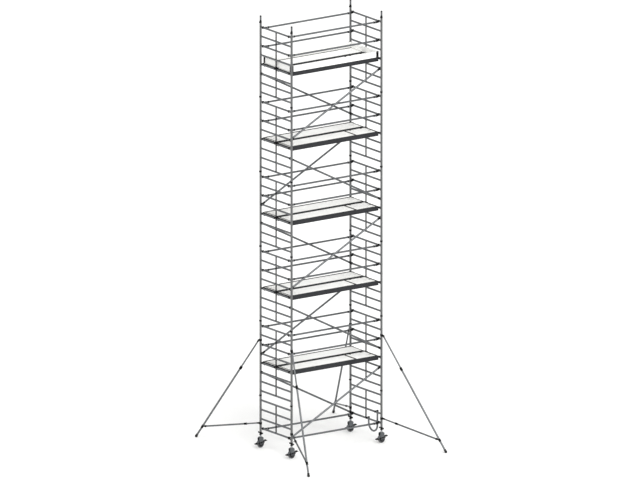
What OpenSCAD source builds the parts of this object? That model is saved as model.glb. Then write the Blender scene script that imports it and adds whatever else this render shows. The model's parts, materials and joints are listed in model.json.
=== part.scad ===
// Mobile tower scaffold: plug-together end frames on castors, with decks, rails, braces and stabilisers.
// Millimetres. X runs along the bay, Y across it, Z up. The origin is on the ground under the middle.

/* [Tower] */
// Distance between the two end frames, centre to centre
bay_l = 2850; // [2400:10:3100]
// Distance between the two uprights of an end frame, centre to centre
frame_w = 1400; // [1350:10:1500]
// Number of two-metre lifts above the base frame
lifts = 5; // [1:1:5]
// Height from one rung to the next
rung_pitch = 250; // [240:5:260]
// Height of the base frame's lower end above the ground
frame_foot = 422; // [415:1:460]

/* [Frames] */
// Outside diameter of an upright
upright_d = 60; // [50:1:64]
// Wall thickness of an upright
upright_wall = 2.5; // [2:0.5:3]
// Outside diameter of a rung
rung_d = 50; // [42:1:52]
// Wall thickness of a rung
rung_wall = 2; // [1.5:0.5:3]
// Outside diameter of the centre post
post_d = 36; // [28:1:40]
// Length of a spigot above the frame that holds it
spigot_out = 150; // [100:5:180]
// Length of a spigot inside the frame that holds it
spigot_in = 120; // [80:5:140]

/* [Rails and braces] */
// Outside diameter of a rail, brace or beam
rail_d = 50; // [42:1:52]
// Wall thickness of a rail, brace or beam
rail_wall = 2; // [1.5:0.5:3]
// Distance of the guard rails from the tower's middle line
rail_y = 584; // [570:1:586]
// Distance of the braces from the tower's middle line
brace_y = 643; // [641:1:645]
// Drop of a rail's axis below the rung that carries it
rail_drop = 15; // [5:1:15]

/* [Decks] */
// Width of one deck
deck_w = 610; // [600:1:612]
// Height of a deck's side beam
beam_h = 112; // [105:1:115]
// Height of a deck's upper edge above the rung that carries it
deck_rise = 52; // [50:1:56]
// Thickness of the deck panel
panel_t = 12; // [9:1:15]
// Height of the toe boards
toe_h = 150; // [140:1:155]
// Place along the bay where the hatch begins
hatch_x = 710; // [650:10:760]

/* [Castors] */
// Diameter of a wheel
wheel_d = 200; // [180:5:200]
// Width of a wheel's tread
wheel_w = 50; // [40:1:56]
// Outside diameter of a jack spindle
spindle_d = 48; // [38:1:50]
// Length of a jack spindle
spindle_l = 600; // [500:10:700]

/* [Stabilisers] */
// Distance of a foot from its upright along the bay
foot_dx = 750; // [600:10:900]
// Distance of a foot from its upright across the bay
foot_dy = 1835; // [1600:5:1900]
// Height of the upper clamp
clamp_top_z = 2880; // [2870:5:2900]
// Height of the lower clamp
clamp_low_z = 650; // [640:1:655]
// Outside diameter of the leg's outer tube
leg_d = 50; // [46:1:54]

/* [Hidden] */
$fn = 48;
eps = 1;                      // overshoot of a cut
weld_gap = 0.2;               // room for the weld between two tubes
slip = 0.3;                   // room between pieces that slide or turn
running = 0.05;               // radial clearance of a pin in its bore
base_rungs = 4;
lift_rungs = 8;
rung_foot = 100;              // lowest rung above its frame's lower end
base_h = base_rungs * rung_pitch;
lift_h = lift_rungs * rung_pitch;
half_l = bay_l / 2;
half_w = frame_w / 2;
upright_r = upright_d / 2;
rung_r = rung_d / 2;
rail_r = rail_d / 2;
brace_rungs = 6;              // rungs that a brace climbs
deck_hook_w = 34;             // width of a deck hook
post_clear = 3;               // room between a centre post and a deck hook
rails_above = [2, 4];         // rungs above the deck where the guard rails hang
corner = ["fl", "fr", "bl", "br"];
corner_x = [-1, 1, -1, 1];
corner_y = [-1, -1, 1, 1];
alu = "#b4b6b5";
dark = "#1d1d1f";
beam_grey = "#4b4c50";

function rung_z(n) = frame_foot + rung_foot + n * rung_pitch;
function joint_z(k) = frame_foot + base_h + k * lift_h;
function deck_n(k) = base_rungs - 1 + k * lift_rungs + base_rungs;
function stabiliser_turn(i) = atan2(corner_y[i] * foot_dy, corner_x[i] * foot_dx);

NODES = concat(
    ["base_frames"], [for (k = [1:lifts]) str("end_frames_", k)],
    ["centre_posts", "spigots", "frame_locks", "base_beams", "braces", "guardrails", "claws"],
    ["deck_beams", "deck_fittings", "deck_panels", "toe_boards", "toe_board_brackets", "access_step"],
    [for (k = [1:lifts]) str("hatch_flap_", k)],
    [for (c = corner) str("jack_spindle_", c)], [for (c = corner) str("jack_nut_", c)],
    [for (c = corner) str("castor_fork_", c)], [for (c = corner) str("castor_wheel_", c)],
    [for (c = corner) str("brake_pedal_", c)],
    [for (c = corner) str("stabiliser_frame_", c)], [for (c = corner) str("stabiliser_clamps_", c)],
    [for (c = corner) str("stabiliser_leg_", c)], [for (c = corner) str("stabiliser_foot_", c)]);
node = "all";

// ---- shared shapes ----

// Upright tube standing on the origin
module tube(d, wall, h) {
    difference() {
        cylinder(d = d, h = h);
        translate([0, 0, -eps]) cylinder(d = d - 2 * wall, h = h + 2 * eps);
    }
}

// Moves what follows to the start of a line in the XZ plane and lays its Z axis along the line
module along(start, finish) {
    v = finish - start;
    translate([start[0], 0, start[1]]) rotate([0, atan2(v[0], v[1]), 0]) children();
}

// The four uprights' places
module at_corners() {
    for (i = [0:3]) castor_at(i) children();
}

// ---- frames ----

// One ladder frame across the bay: two uprights and the rungs between them
module ladder_frame(h, rungs) {
    for (s = [-1, 1]) translate([0, s * half_w, 0]) tube(upright_d, upright_wall, h);
    for (n = [0:rungs - 1]) translate([0, 0, rung_foot + n * rung_pitch]) rung();
}

// A rung whose ends are cut to sit on the round uprights
module rung() {
    difference() {
        translate([0, half_w, 0]) rotate([90, 0, 0]) tube(rung_d, rung_wall, frame_w);
        for (s = [-1, 1]) translate([0, s * half_w, -rung_d])
            cylinder(r = upright_r + weld_gap, h = 2 * rung_d);
    }
}

module frame_pair(z, h, rungs) {
    color(alu) for (s = [-1, 1]) translate([s * half_l, 0, z]) ladder_frame(h, rungs);
}

// A short upright piece between two rungs, its ends cut to sit on them
module post_piece() {
    difference() {
        tube(post_d, rung_wall, rung_pitch);
        for (z = [0, rung_pitch]) translate([0, 0, z]) rotate([90, 0, 0])
            cylinder(r = rung_r + weld_gap, h = 2 * post_d, center = true);
    }
}

module centre_posts() {
    last = base_rungs + lifts * lift_rungs - 1;
    color(dark) for (s = [-1, 1], n = [0:last - 1])
        if ((n + base_rungs + 1) % lift_rungs != 0)
            translate([s * half_l, 0, rung_z(n)]) post_piece();
}

// A spigot: pressed into the frame below, and with room to slide in the frame above
module spigots() {
    bore_d = upright_d - 2 * upright_wall;
    wall = 3;
    pressed = 0.1;                        // radial gap of the fixed end
    play = 1;                             // radial gap of the free end
    color(alu) for (k = [0:lifts]) translate([0, 0, joint_z(k)]) at_corners() {
        translate([0, 0, -spigot_in]) tube(bore_d - 2 * pressed, wall, spigot_in);
        tube(bore_d - 2 * play, wall, spigot_out);
    }
}

// A ring under each joint, with a spring pin through an ear
module frame_locks() {
    ring_h = 42;
    ring_r = upright_r + 4;
    color(dark) for (k = [0:lifts]) translate([0, 0, joint_z(k) - ring_h - 2]) at_corners() {
        difference() {
            union() {
                cylinder(r = ring_r, h = ring_h);
                translate([-ring_r - 14, -8, 8]) cube([20, 16, 26]);
            }
            translate([0, 0, -eps]) cylinder(r = upright_r + slip, h = ring_h + 2 * eps);
        }
    }
}

// ---- rails, braces and their claws ----

// A cast claw: a hook over the rung on the Y axis and a sleeve on the tube that leaves along +X
module claw(drop) {
    hook_r = rung_r + 9;
    hook_w = 36;
    sleeve_l = 70;
    sleeve_r = rail_r + 4;
    difference() {
        union() {
            rotate([90, 0, 0]) cylinder(r = hook_r, h = hook_w, center = true);
            translate([hook_r - 6, 0, -drop]) rotate([0, 90, 0]) cylinder(r = sleeve_r, h = sleeve_l);
        }
        rotate([90, 0, 0]) cylinder(r = rung_r + slip, h = 4 * hook_w, center = true);
        translate([-rung_r - slip, -hook_w, -2 * hook_r])
            cube([2 * (rung_r + slip), 2 * hook_w, 2 * hook_r]);
        translate([hook_r + 3, 0, -drop]) rotate([0, 90, 0]) cylinder(r = rail_r + slip / 2, h = sleeve_l);
    }
}

// A pair of claws facing each other along a line from rung a to rung b, both at y
module claw_pair(y, a, b, drop) {
    rise = atan2(rung_z(b) - rung_z(a), bay_l);
    translate([-half_l, y, rung_z(a)]) rotate([0, -rise, 0]) claw(drop);
    translate([half_l, y, rung_z(b)]) rotate([0, rise, 180]) claw(drop);
}

// The tube between such a pair
module rail(y, a, b, drop) {
    rise = rung_z(b) - rung_z(a);
    length = norm([bay_l, rise]);
    inset = rung_r + 16;
    translate([-half_l, y, rung_z(a)]) rotate([0, 90 - atan2(rise, bay_l), 0])
        translate([drop, 0, inset]) tube(rail_d, rail_wall, length - 2 * inset);
}

// First rung of the brace in lift k, and whether it climbs to the right on the front
function brace_n(k) = k * lift_rungs;
function climbs(k, side) = (k % 2 == 0) == (side < 0);

module each_brace() {
    for (k = [0:lifts - 1], side = [-1, 1]) {
        $brace_y = side * brace_y;
        $brace_a = brace_n(k) + (climbs(k, side) ? 0 : brace_rungs);
        $brace_b = brace_n(k) + (climbs(k, side) ? brace_rungs : 0);
        children();
    }
}

module each_rail() {
    for (k = [0:lifts - 1], up = rails_above, side = [-1, 1]) {
        $rail_y = side * rail_y;
        $rail_n = deck_n(k) + up;
        children();
    }
}

module braces() {
    color("#cfd0cf") each_brace() rail($brace_y, $brace_a, $brace_b, 0);
}

module guardrails() {
    color(alu) each_rail() rail($rail_y, $rail_n, $rail_n, rail_drop);
}

module base_beams() {
    color(alu) for (side = [-1, 1]) rail(side * rail_y, 0, 0, rail_drop);
}

module claws() {
    color(dark) {
        each_brace() claw_pair($brace_y, $brace_a, $brace_b, 0);
        each_rail() claw_pair($rail_y, $rail_n, $rail_n, rail_drop);
        for (side = [-1, 1]) claw_pair(side * rail_y, 0, 0, rail_drop);
        for (leg = step_legs) translate([half_l, leg[0], rung_z(leg[1])]) step_clamp();
    }
}

// ---- access step ----

step_d = 48;
step_out = rung_r + step_d / 2 + 6;       // the step's plane outside the frame's
step_z = 217;                             // lowest point of the loop's axis
step_legs = [[-438, 1], [-45, 0]];        // place across the frame, and the rung that carries the leg
step_bend = (step_legs[1][0] - step_legs[0][0]) / 2;

// Clamp between a rung and the step's leg, with the leg's cap above it
module step_clamp() {
    clamp_r = rung_r + 8;
    difference() {
        union() {
            rotate([90, 0, 0]) cylinder(r = clamp_r, h = 44, center = true);
            translate([step_out, 0, -36]) cylinder(r = step_d / 2 + 6, h = 72);
        }
        rotate([90, 0, 0]) cylinder(r = rung_r + slip, h = 80, center = true);
        translate([-rung_r - slip, -40, -80]) cube([2 * rung_r + 2 * slip, 80, 80]);
        translate([step_out, 0, -50]) cylinder(r = step_d / 2 + slip / 2, h = 80);
    }
}

// Two legs joined by a half circle that the foot goes into
module access_step() {
    low = step_z + step_bend;
    leg_top = 28;                         // leg above the rung's axis
    color(alu) translate([half_l + step_out, 0, 0]) {
        for (leg = step_legs) translate([0, leg[0], low])
            tube(step_d, rung_wall, rung_z(leg[1]) + leg_top - low);
        translate([0, step_legs[0][0] + step_bend, low]) rotate([90, 0, 90])
            rotate([0, 0, 180]) rotate_extrude(angle = 180) translate([step_bend, 0]) difference() {
                circle(d = step_d);
                circle(d = step_d - 2 * rung_wall);
            }
    }
}

// ---- decks ----

deck_inner = 15;                          // edge of a deck from the tower's middle line
flange_w = 30;
beam_web = 3;
beam_flange = 5;
beam_end = half_l - rung_r - 19;          // end of a side beam
panel_sink = 4;                           // panel below the beam's upper edge
cross_w = 36;
cross_wall = 2;
hatch_end = beam_end - 33;                // far end of the flap
cross_end = beam_end - cross_w / 2 - 5;

// Side beam of a deck: a channel open towards +Y, its outer face on the XZ plane
module side_beam() {
    inner_h = beam_h - 2 * beam_flange;
    translate([-beam_end, 0, deck_rise - beam_h]) rotate([90, 0, 90]) linear_extrude(2 * beam_end)
        polygon([[0, 0], [flange_w, 0], [flange_w, beam_flange], [beam_web, beam_flange],
                 [beam_web, beam_flange + inner_h], [flange_w, beam_flange + inner_h],
                 [flange_w, beam_h], [0, beam_h]]);
}

// Cross member of a deck, a box tube between the webs
module cross_member() {
    h = 46;
    length = deck_w - 2 * beam_web - 2 * slip;
    translate([-cross_w / 2, beam_web + slip, deck_rise - panel_sink - panel_t - h]) difference() {
        cube([cross_w, length, h]);
        translate([cross_wall, -eps, cross_wall])
            cube([cross_w - 2 * cross_wall, length + 2 * eps, h - 2 * cross_wall]);
    }
}

// Places of the cross members of a plain deck and of a deck with a hatch
plain_cross = [for (i = [0:5]) cross_end * (2 * i / 5 - 1)];
hatch_cross = concat([for (i = [0:4]) -cross_end + i * (hatch_x - 2 + cross_end) / 4], [cross_end]);

// One deck's metalwork, its outer edge on Y 0 and its inner edge at deck_w
module deck_frame(crosses) {
    side_beam();
    translate([0, deck_w, 0]) mirror([0, 1, 0]) side_beam();
    for (x = crosses) translate([x, 0, 0]) cross_member();
}

// Places the children once for each lift, at the height of the rung that carries the deck
module each_deck_level() {
    for (k = [0:lifts - 1]) translate([0, 0, rung_z(deck_n(k))]) children();
}

module deck_beams() {
    color(beam_grey) each_deck_level() {
        translate([0, deck_inner, 0]) deck_frame(plain_cross);
        translate([0, -deck_inner - deck_w, 0]) deck_frame(hatch_cross);
    }
}

// Panel strip from x0 to x1 on the deck whose outer edge is on Y 0
module panel_strip(x0, x1) {
    inset = flange_w + slip;
    translate([x0, inset, deck_rise - panel_sink - panel_t])
        cube([x1 - x0, deck_w - 2 * inset, panel_t]);
}

module deck_panels() {
    color("#e9e9e6") each_deck_level() {
        translate([0, deck_inner, 0]) panel_strip(-beam_end, beam_end);
        translate([0, -deck_inner - deck_w, 0]) {
            panel_strip(-beam_end, hatch_x - 2);
            panel_strip(hatch_end + 4, beam_end);
        }
    }
}

// Hook of a deck over the rung at X 0, seen from the side, reaching towards -X to the beam's end
module deck_hook() {
    back = beam_end - half_l;
    lip = rung_r + 9;
    crown = 40;
    difference() {
        translate([0, deck_hook_w, 0]) rotate([90, 0, 0]) linear_extrude(deck_hook_w)
            polygon([[back, -8], [lip, -8], [lip, crown - 24], [lip - 14, crown - 6], [-8, crown],
                     [back, crown + 8]]);
        translate([0, -eps, 0]) rotate([-90, 0, 0]) cylinder(r = rung_r + slip, h = deck_hook_w + 2 * eps);
        translate([-rung_r - slip, -eps, -2 * rung_r])
            cube([2 * (rung_r + slip), deck_hook_w + 2 * eps, 2 * rung_r]);
    }
}

// Hinge of the hatch: an axis along X just above the beam's upper edge
hinge_y = -deck_inner - flange_w - slip - 0.5;
hinge_z = deck_rise + 4.6;
hinge_pin_r = 3;
hinge_xs = [860, 1200];
knuckle_l = 44;
knuckle_r = 4;

// The fixed half: two lugs on the beam with the pin between them
module hinge_fixed() {
    lug_l = 16;
    for (s = [-1, 1]) translate([s * (knuckle_l / 2 + 1 + lug_l / 2), hinge_y + 6, deck_rise + 4.1])
        cube([lug_l, 20, 8.2], center = true);
    translate([-knuckle_l / 2 - lug_l, hinge_y, hinge_z]) rotate([0, 90, 0])
        cylinder(r = hinge_pin_r, h = knuckle_l + 2 * lug_l);
}

module deck_fittings() {
    hook_ys = [post_d / 2 + post_clear, deck_inner + deck_w - deck_hook_w];
    color(dark) each_deck_level() {
        for (sx = [-1, 1], sy = [-1, 1], y = hook_ys)
            translate([sx * half_l, 0, 0]) mirror([sx < 0 ? 1 : 0, 0, 0])
                mirror([0, sy < 0 ? 1 : 0, 0]) translate([0, y, 0]) deck_hook();
        for (x = hinge_xs) translate([x, 0, 0]) hinge_fixed();
    }
}

// One knuckle of the flap, its strap and the web that joins them
module flap_hinge(x, top) {
    strap = 60;
    translate([x - knuckle_l / 2, hinge_y, 0]) {
        translate([0, 0, hinge_z]) rotate([0, 90, 0]) cylinder(r = knuckle_r, h = knuckle_l);
        translate([0, -strap, top - 1]) cube([knuckle_l, strap - 2, 4]);
        translate([0, -6, top - 1]) cube([knuckle_l, 5, 8]);
    }
}

// Flap of a hatch with its hinge knuckles and its pull handle
module hatch_flap(k) {
    top = deck_rise - panel_sink;
    low = top - panel_t + slip;
    near = -deck_inner - flange_w - 1.5;
    far = -deck_inner - deck_w + flange_w + 2;
    handle = [70, 24, 6];
    color("#e9e9e6") translate([0, 0, rung_z(deck_n(k - 1))]) difference() {
        union() {
            translate([hatch_x + 2, far, low]) cube([hatch_end - hatch_x - 2, near - far, top - low]);
            for (x = hinge_xs) flap_hinge(x, top);
            translate([hatch_end - handle[0] - 20, far + 228, top - 1]) cube(handle);
        }
        for (x = hinge_xs) translate([x - knuckle_l, hinge_y, hinge_z]) rotate([0, 90, 0])
            cylinder(r = hinge_pin_r + running, h = 2 * knuckle_l);
    }
}

// ---- toe boards of the top deck ----

toe_t = 25;
toe_y = deck_inner + deck_w;              // outer face of a long toe board
toe_x = half_l - 45;                      // outer face of an end toe board

module toe_boards() {
    color("#e6e6e2") translate([0, 0, rung_z(deck_n(lifts - 1)) + deck_rise]) {
        for (s = [-1, 1]) translate([-toe_x + toe_t + slip, s > 0 ? toe_y - toe_t : -toe_y, 0])
            cube([2 * (toe_x - toe_t - slip), toe_t, toe_h]);
        for (s = [-1, 1]) translate([s > 0 ? toe_x - toe_t : -toe_x, -toe_y, 0])
            cube([toe_t, 2 * toe_y, toe_h]);
    }
}

// An angle round each outer corner of the toe boards
module toe_board_brackets() {
    plate = 4;
    reach = 70;
    color(dark) translate([0, 0, rung_z(deck_n(lifts - 1)) + deck_rise])
        for (sx = [0, 1], sy = [0, 1]) mirror([sx, 0, 0]) mirror([0, sy, 0])
            translate([toe_x - reach, toe_y - reach, 0]) difference() {
                cube([reach + plate, reach + plate, toe_h + 8]);
                translate([-eps, -eps, -eps]) cube([reach + eps, reach + eps, toe_h + 20]);
            }
}

// ---- castors, built on the spindle's axis at their true height ----

axle_z = wheel_d / 2;
fork_top = 282;
fork_plate = 12;
fork_half = 36;                           // inner face of a fork leg
leg_t = 6;
kingpin_r = 10;
axle_r = 10;
nut_top = frame_foot - slip;
nut_h = 80;
guard_r = wheel_d / 2 + 10;               // outer radius of the wheel guard
pedal_z = 142;                            // the brake rocker's pivot
pedal_pin_r = 6;
pedal_tilt = 11.5;

module jack_spindle() {
    flange_t = 18;
    color("#8f9294") {
        translate([0, 0, fork_top + slip]) cylinder(r = spindle_d / 2 + 12, h = flange_t);
        translate([0, 0, fork_top + slip + flange_t]) tube(spindle_d, 5, spindle_l);
        translate([0, 0, fork_top - fork_plate - 6]) cylinder(r = kingpin_r, h = fork_plate + 10);
        translate([0, 0, fork_top - fork_plate - 20]) cylinder(r = kingpin_r + 6, h = 18);
    }
}

// Nut with two ears across the bay, round the spindle under the upright
module jack_nut() {
    ear_reach = 86;
    ear_w = 22;
    ear_r = 16;
    color(dark) translate([0, 0, nut_top - nut_h]) difference() {
        union() {
            cylinder(r = spindle_d / 2 + 12, h = nut_h);
            translate([-ear_w / 2, -ear_reach, 36]) cube([ear_w, 2 * ear_reach, 30]);
            for (s = [-1, 1]) translate([0, s * ear_reach, 31]) cylinder(r = ear_r, h = 40);
        }
        translate([0, 0, -eps]) cylinder(d = spindle_d + 2 * slip, h = nut_h + 2 * eps);
    }
}

// One fork leg in the XZ plane, its inner face on Y 0
module fork_leg() {
    translate([0, leg_t, 0]) rotate([90, 0, 0]) linear_extrude(leg_t)
        polygon([[-50, fork_top], [50, fork_top], [68, fork_top - 22], [70, fork_top - 60],
                 [34, axle_z + 8], [14, axle_z - 27], [-14, axle_z - 27], [-34, axle_z + 8],
                 [-70, fork_top - 60], [-68, fork_top - 22]]);
}

// Guard over the upper half of the wheel, between the fork's legs
module wheel_guard() {
    guard_w = 2 * fork_half + 1;
    translate([0, guard_w / 2, axle_z]) rotate([90, 0, 0]) difference() {
        cylinder(r = guard_r, h = guard_w);
        translate([0, 0, -eps]) cylinder(r = guard_r - 4, h = guard_w + 2 * eps);
        translate([-guard_r - eps, -guard_r - eps, -eps])
            cube([2 * guard_r + 2 * eps, guard_r + 12, guard_w + 2 * eps]);
    }
}

module castor_fork() {
    axle_end = fork_half + leg_t + 5;
    pin_end = fork_half + leg_t + 9;
    pin_l = 10;
    color("#b9bbbd") difference() {
        union() {
            for (s = [0, 1]) mirror([0, s, 0]) translate([0, fork_half, 0]) fork_leg();
            translate([-50, -fork_half - 1, fork_top - fork_plate])
                cube([100, 2 * fork_half + 2, fork_plate]);
            wheel_guard();
            translate([0, axle_end, axle_z]) rotate([90, 0, 0]) cylinder(r = axle_r, h = 2 * axle_end);
            translate([0, pin_end, pedal_z]) rotate([90, 0, 0]) {
                cylinder(r = pedal_pin_r, h = pin_l);
                translate([0, 0, 2 * pin_end - pin_l]) cylinder(r = pedal_pin_r, h = pin_l);
            }
        }
        translate([0, 0, fork_top - fork_plate - eps]) cylinder(r = kingpin_r + running, h = 2 * fork_plate);
    }
}

// Wheel: half of its section is turned round the axle
module castor_wheel() {
    r = wheel_d / 2;
    w = wheel_w / 2;
    hub_w = fork_half - 1;
    color("#6e7072") translate([0, 0, axle_z]) rotate([90, 0, 0]) rotate_extrude()
        polygon([[axle_r + running, -hub_w], [26, -hub_w], [28, -12], [r - 26, -9], [r - 24, -w],
                 [r - 8, -w], [r - 2, -w + 5], [r, -w + 11], [r, w - 11], [r - 2, w - 5], [r - 8, w],
                 [r - 24, w], [r - 26, 9], [28, 12], [26, hub_w], [axle_r + running, hub_w]]);
}

// Two-pedal rocker: a bar each side of the fork, and a pedal at each end across the wheel
module brake_pedal() {
    bar_y = fork_half + leg_t + 2;
    bar_t = 6;
    bar_h = 20;
    reach = 120;
    pad_l = 58;
    pad_t = 20;
    color(dark) translate([0, 0, pedal_z]) rotate([0, -pedal_tilt, 0]) difference() {
        union() {
            for (s = [-1, 1]) translate([0, s * (bar_y + bar_t / 2), 0]) {
                cube([2 * reach + 20, bar_t, bar_h], center = true);
                rotate([90, 0, 0]) cylinder(r = 20, h = bar_t, center = true);
            }
            for (s = [-1, 1]) translate([s * (reach + pad_l / 2), 0, 0])
                cube([pad_l, 2 * (bar_y + bar_t), pad_t], center = true);
        }
        rotate([90, 0, 0]) cylinder(r = pedal_pin_r + running, h = 4 * bar_y, center = true);
    }
}

// ---- stabilisers, built with the upright on the Z axis and the foot towards +X ----

foot_reach = norm([foot_dx, foot_dy]);
leg_start = [50, clamp_top_z];
leg_end = [foot_reach, 34];               // middle of the rubber foot
strut_start = [50, clamp_low_z];
strut_in = 190;                           // the strut's end short of the foot
strut_end = [foot_reach - strut_in, leg_end[1] + strut_in * (leg_start[1] - leg_end[1])
             / (leg_end[0] - leg_start[0])];
leg_len = norm(leg_end - leg_start);
strut_len = norm(strut_end - strut_start);
leg_r = leg_d / 2;
inner_leg_r = leg_r - 4;
inner_leg_wall = 2;
outer_leg_from = 970;                     // start of the outer tube along the leg
inner_leg_to = 1450;
strut_r = 22;
strut_wall = 2.5;
inner_strut_r = strut_r - strut_wall - 0.5;
outer_strut_from = 395;
inner_strut_to = 620;
coupler_gap = 92;                         // end of the strut's tube from the leg's axis
clamp_h = 56;
foot_socket = 26;                         // end of the leg's tube from the middle of the foot
knuckle_out = 57;                         // knuckle of a clamp from the upright's axis

// Clamp round the upright at the height z, with a knuckle and a plug that points along the line
module upright_clamp(start, finish, plug_r) {
    slope = (finish - start) / norm(finish - start);
    knuckle = start + slope * (knuckle_out - start[0]) / slope[0];
    difference() {
        union() {
            translate([0, 0, start[1] - clamp_h / 2]) cylinder(r = upright_r + 10, h = clamp_h);
            translate([knuckle[0], 0, knuckle[1]]) rotate([90, 0, 0]) cylinder(r = 22, h = 50, center = true);
            along(knuckle, finish) cylinder(r = plug_r, h = 100);
        }
        translate([0, 0, start[1] - clamp_h]) cylinder(r = upright_r + slip, h = 2 * clamp_h);
    }
}

// Upper leg tube and the two tubes of the strut
module stabiliser_frame() {
    color(alu) {
        along(leg_start, leg_end) translate([0, 0, 40])
            tube(2 * inner_leg_r, inner_leg_wall, inner_leg_to - 40);
        along(strut_start, strut_end) {
            translate([0, 0, 40]) tube(2 * inner_strut_r, 2, inner_strut_to - 40);
            translate([0, 0, outer_strut_from])
                tube(2 * strut_r, strut_wall, strut_len - coupler_gap - outer_strut_from);
        }
    }
}

// Both upright clamps, the strut's gripping collar and the coupler on the leg
module stabiliser_clamps() {
    collar_l = 84;
    color(dark) {
        upright_clamp(leg_start, leg_end, inner_leg_r - inner_leg_wall - slip);
        upright_clamp(strut_start, strut_end, inner_strut_r - 2 - slip);
        along(strut_start, strut_end) translate([0, 0, outer_strut_from - 16]) difference() {
            cylinder(r = strut_r + 7, h = collar_l);
            translate([0, 0, -eps]) cylinder(r = inner_strut_r + slip, h = collar_l);
            translate([0, 0, 16 - slip]) cylinder(r = strut_r + slip / 2, h = collar_l);
        }
        difference() {
            union() {
                translate([strut_end[0], 0, strut_end[1]]) rotate([0, leg_turn(), 0])
                    cylinder(r = leg_r + 10, h = 76, center = true);
                along(strut_end, strut_start) cylinder(r = strut_r - strut_wall - slip, h = 170);
            }
            along(leg_start, leg_end) cylinder(r = leg_r + slip, h = leg_len);
        }
    }
}

// Turn from the Z axis to the leg's direction
function leg_turn() = atan2(leg_end[0] - leg_start[0], leg_end[1] - leg_start[1]);

module stabiliser_leg() {
    color("#bcbebd") along(leg_start, leg_end) translate([0, 0, outer_leg_from])
        tube(leg_d, 3, leg_len - foot_socket - slip - outer_leg_from);
}

// Round rubber foot with a flat underneath and a plug in the leg, and the collar at the leg's top
module stabiliser_foot() {
    collar_l = 95;
    ball_r = 38;
    cuff_r = leg_r + 7;
    color(dark) {
        difference() {
            union() {
                translate([leg_end[0], 0, leg_end[1]]) sphere(r = ball_r);
                along(leg_end, leg_start) cylinder(r = cuff_r, h = 64);
            }
            translate([leg_end[0] - 2 * ball_r, -2 * ball_r, -4 * ball_r])
                cube(4 * ball_r);
            along(leg_end, leg_start) translate([0, 0, foot_socket])
                cylinder(r = leg_r + slip / 2, h = 2 * ball_r);
        }
        along(leg_end, leg_start) cylinder(r = leg_r - 3.4, h = 130);
        along(leg_start, leg_end) translate([0, 0, outer_leg_from - 20]) difference() {
            cylinder(r = leg_r + 8, h = collar_l);
            translate([0, 0, -eps]) cylinder(r = inner_leg_r + slip, h = collar_l);
            translate([0, 0, 20 - slip]) cylinder(r = leg_r + slip / 2, h = collar_l);
        }
    }
}

// Moves a castor's pieces, or a stabiliser's, to corner i
module castor_at(i) {
    translate([corner_x[i] * half_l, corner_y[i] * half_w, 0]) children();
}

module stabiliser_at(i) {
    castor_at(i) rotate([0, 0, stabiliser_turn(i)]) children();
}

function shown(name) = node == "all" || node == name;

if (shown("base_frames")) frame_pair(frame_foot, base_h, base_rungs);
for (k = [1:lifts]) if (shown(str("end_frames_", k))) frame_pair(joint_z(k - 1), lift_h, lift_rungs);
if (shown("centre_posts")) centre_posts();
if (shown("spigots")) spigots();
if (shown("frame_locks")) frame_locks();
if (shown("base_beams")) base_beams();
if (shown("braces")) braces();
if (shown("guardrails")) guardrails();
if (shown("claws")) claws();
if (shown("deck_beams")) deck_beams();
if (shown("deck_fittings")) deck_fittings();
if (shown("deck_panels")) deck_panels();
if (shown("toe_boards")) toe_boards();
if (shown("toe_board_brackets")) toe_board_brackets();
if (shown("access_step")) access_step();
for (k = [1:lifts]) if (shown(str("hatch_flap_", k))) hatch_flap(k);
for (i = [0:3]) {
    if (shown(str("jack_spindle_", corner[i]))) castor_at(i) jack_spindle();
    if (shown(str("jack_nut_", corner[i]))) castor_at(i) jack_nut();
    if (shown(str("castor_fork_", corner[i]))) castor_at(i) castor_fork();
    if (shown(str("castor_wheel_", corner[i]))) castor_at(i) castor_wheel();
    if (shown(str("brake_pedal_", corner[i]))) castor_at(i) brake_pedal();
    if (shown(str("stabiliser_frame_", corner[i]))) stabiliser_at(i) stabiliser_frame();
    if (shown(str("stabiliser_clamps_", corner[i]))) stabiliser_at(i) stabiliser_clamps();
    if (shown(str("stabiliser_leg_", corner[i]))) stabiliser_at(i) stabiliser_leg();
    if (shown(str("stabiliser_foot_", corner[i]))) stabiliser_at(i) stabiliser_foot();
}
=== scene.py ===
import json
import math
import bpy
import numpy as np
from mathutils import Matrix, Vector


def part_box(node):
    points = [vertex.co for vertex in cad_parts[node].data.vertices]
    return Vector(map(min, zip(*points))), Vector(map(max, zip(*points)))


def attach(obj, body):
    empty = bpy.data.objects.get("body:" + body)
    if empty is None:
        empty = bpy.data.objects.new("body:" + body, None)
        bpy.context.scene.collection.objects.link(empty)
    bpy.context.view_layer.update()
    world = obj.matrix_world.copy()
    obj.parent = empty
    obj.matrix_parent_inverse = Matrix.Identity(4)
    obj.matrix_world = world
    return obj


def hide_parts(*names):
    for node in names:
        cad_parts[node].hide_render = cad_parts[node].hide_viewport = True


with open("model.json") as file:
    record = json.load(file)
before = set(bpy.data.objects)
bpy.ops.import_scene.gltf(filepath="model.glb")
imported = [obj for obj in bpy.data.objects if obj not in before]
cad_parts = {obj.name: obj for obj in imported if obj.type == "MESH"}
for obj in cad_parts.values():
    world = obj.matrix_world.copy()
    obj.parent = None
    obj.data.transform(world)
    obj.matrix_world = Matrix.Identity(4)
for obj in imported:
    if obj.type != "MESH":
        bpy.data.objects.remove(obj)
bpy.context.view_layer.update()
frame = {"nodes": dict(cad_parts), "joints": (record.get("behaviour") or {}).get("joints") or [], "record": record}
record = frame["record"]

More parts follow.
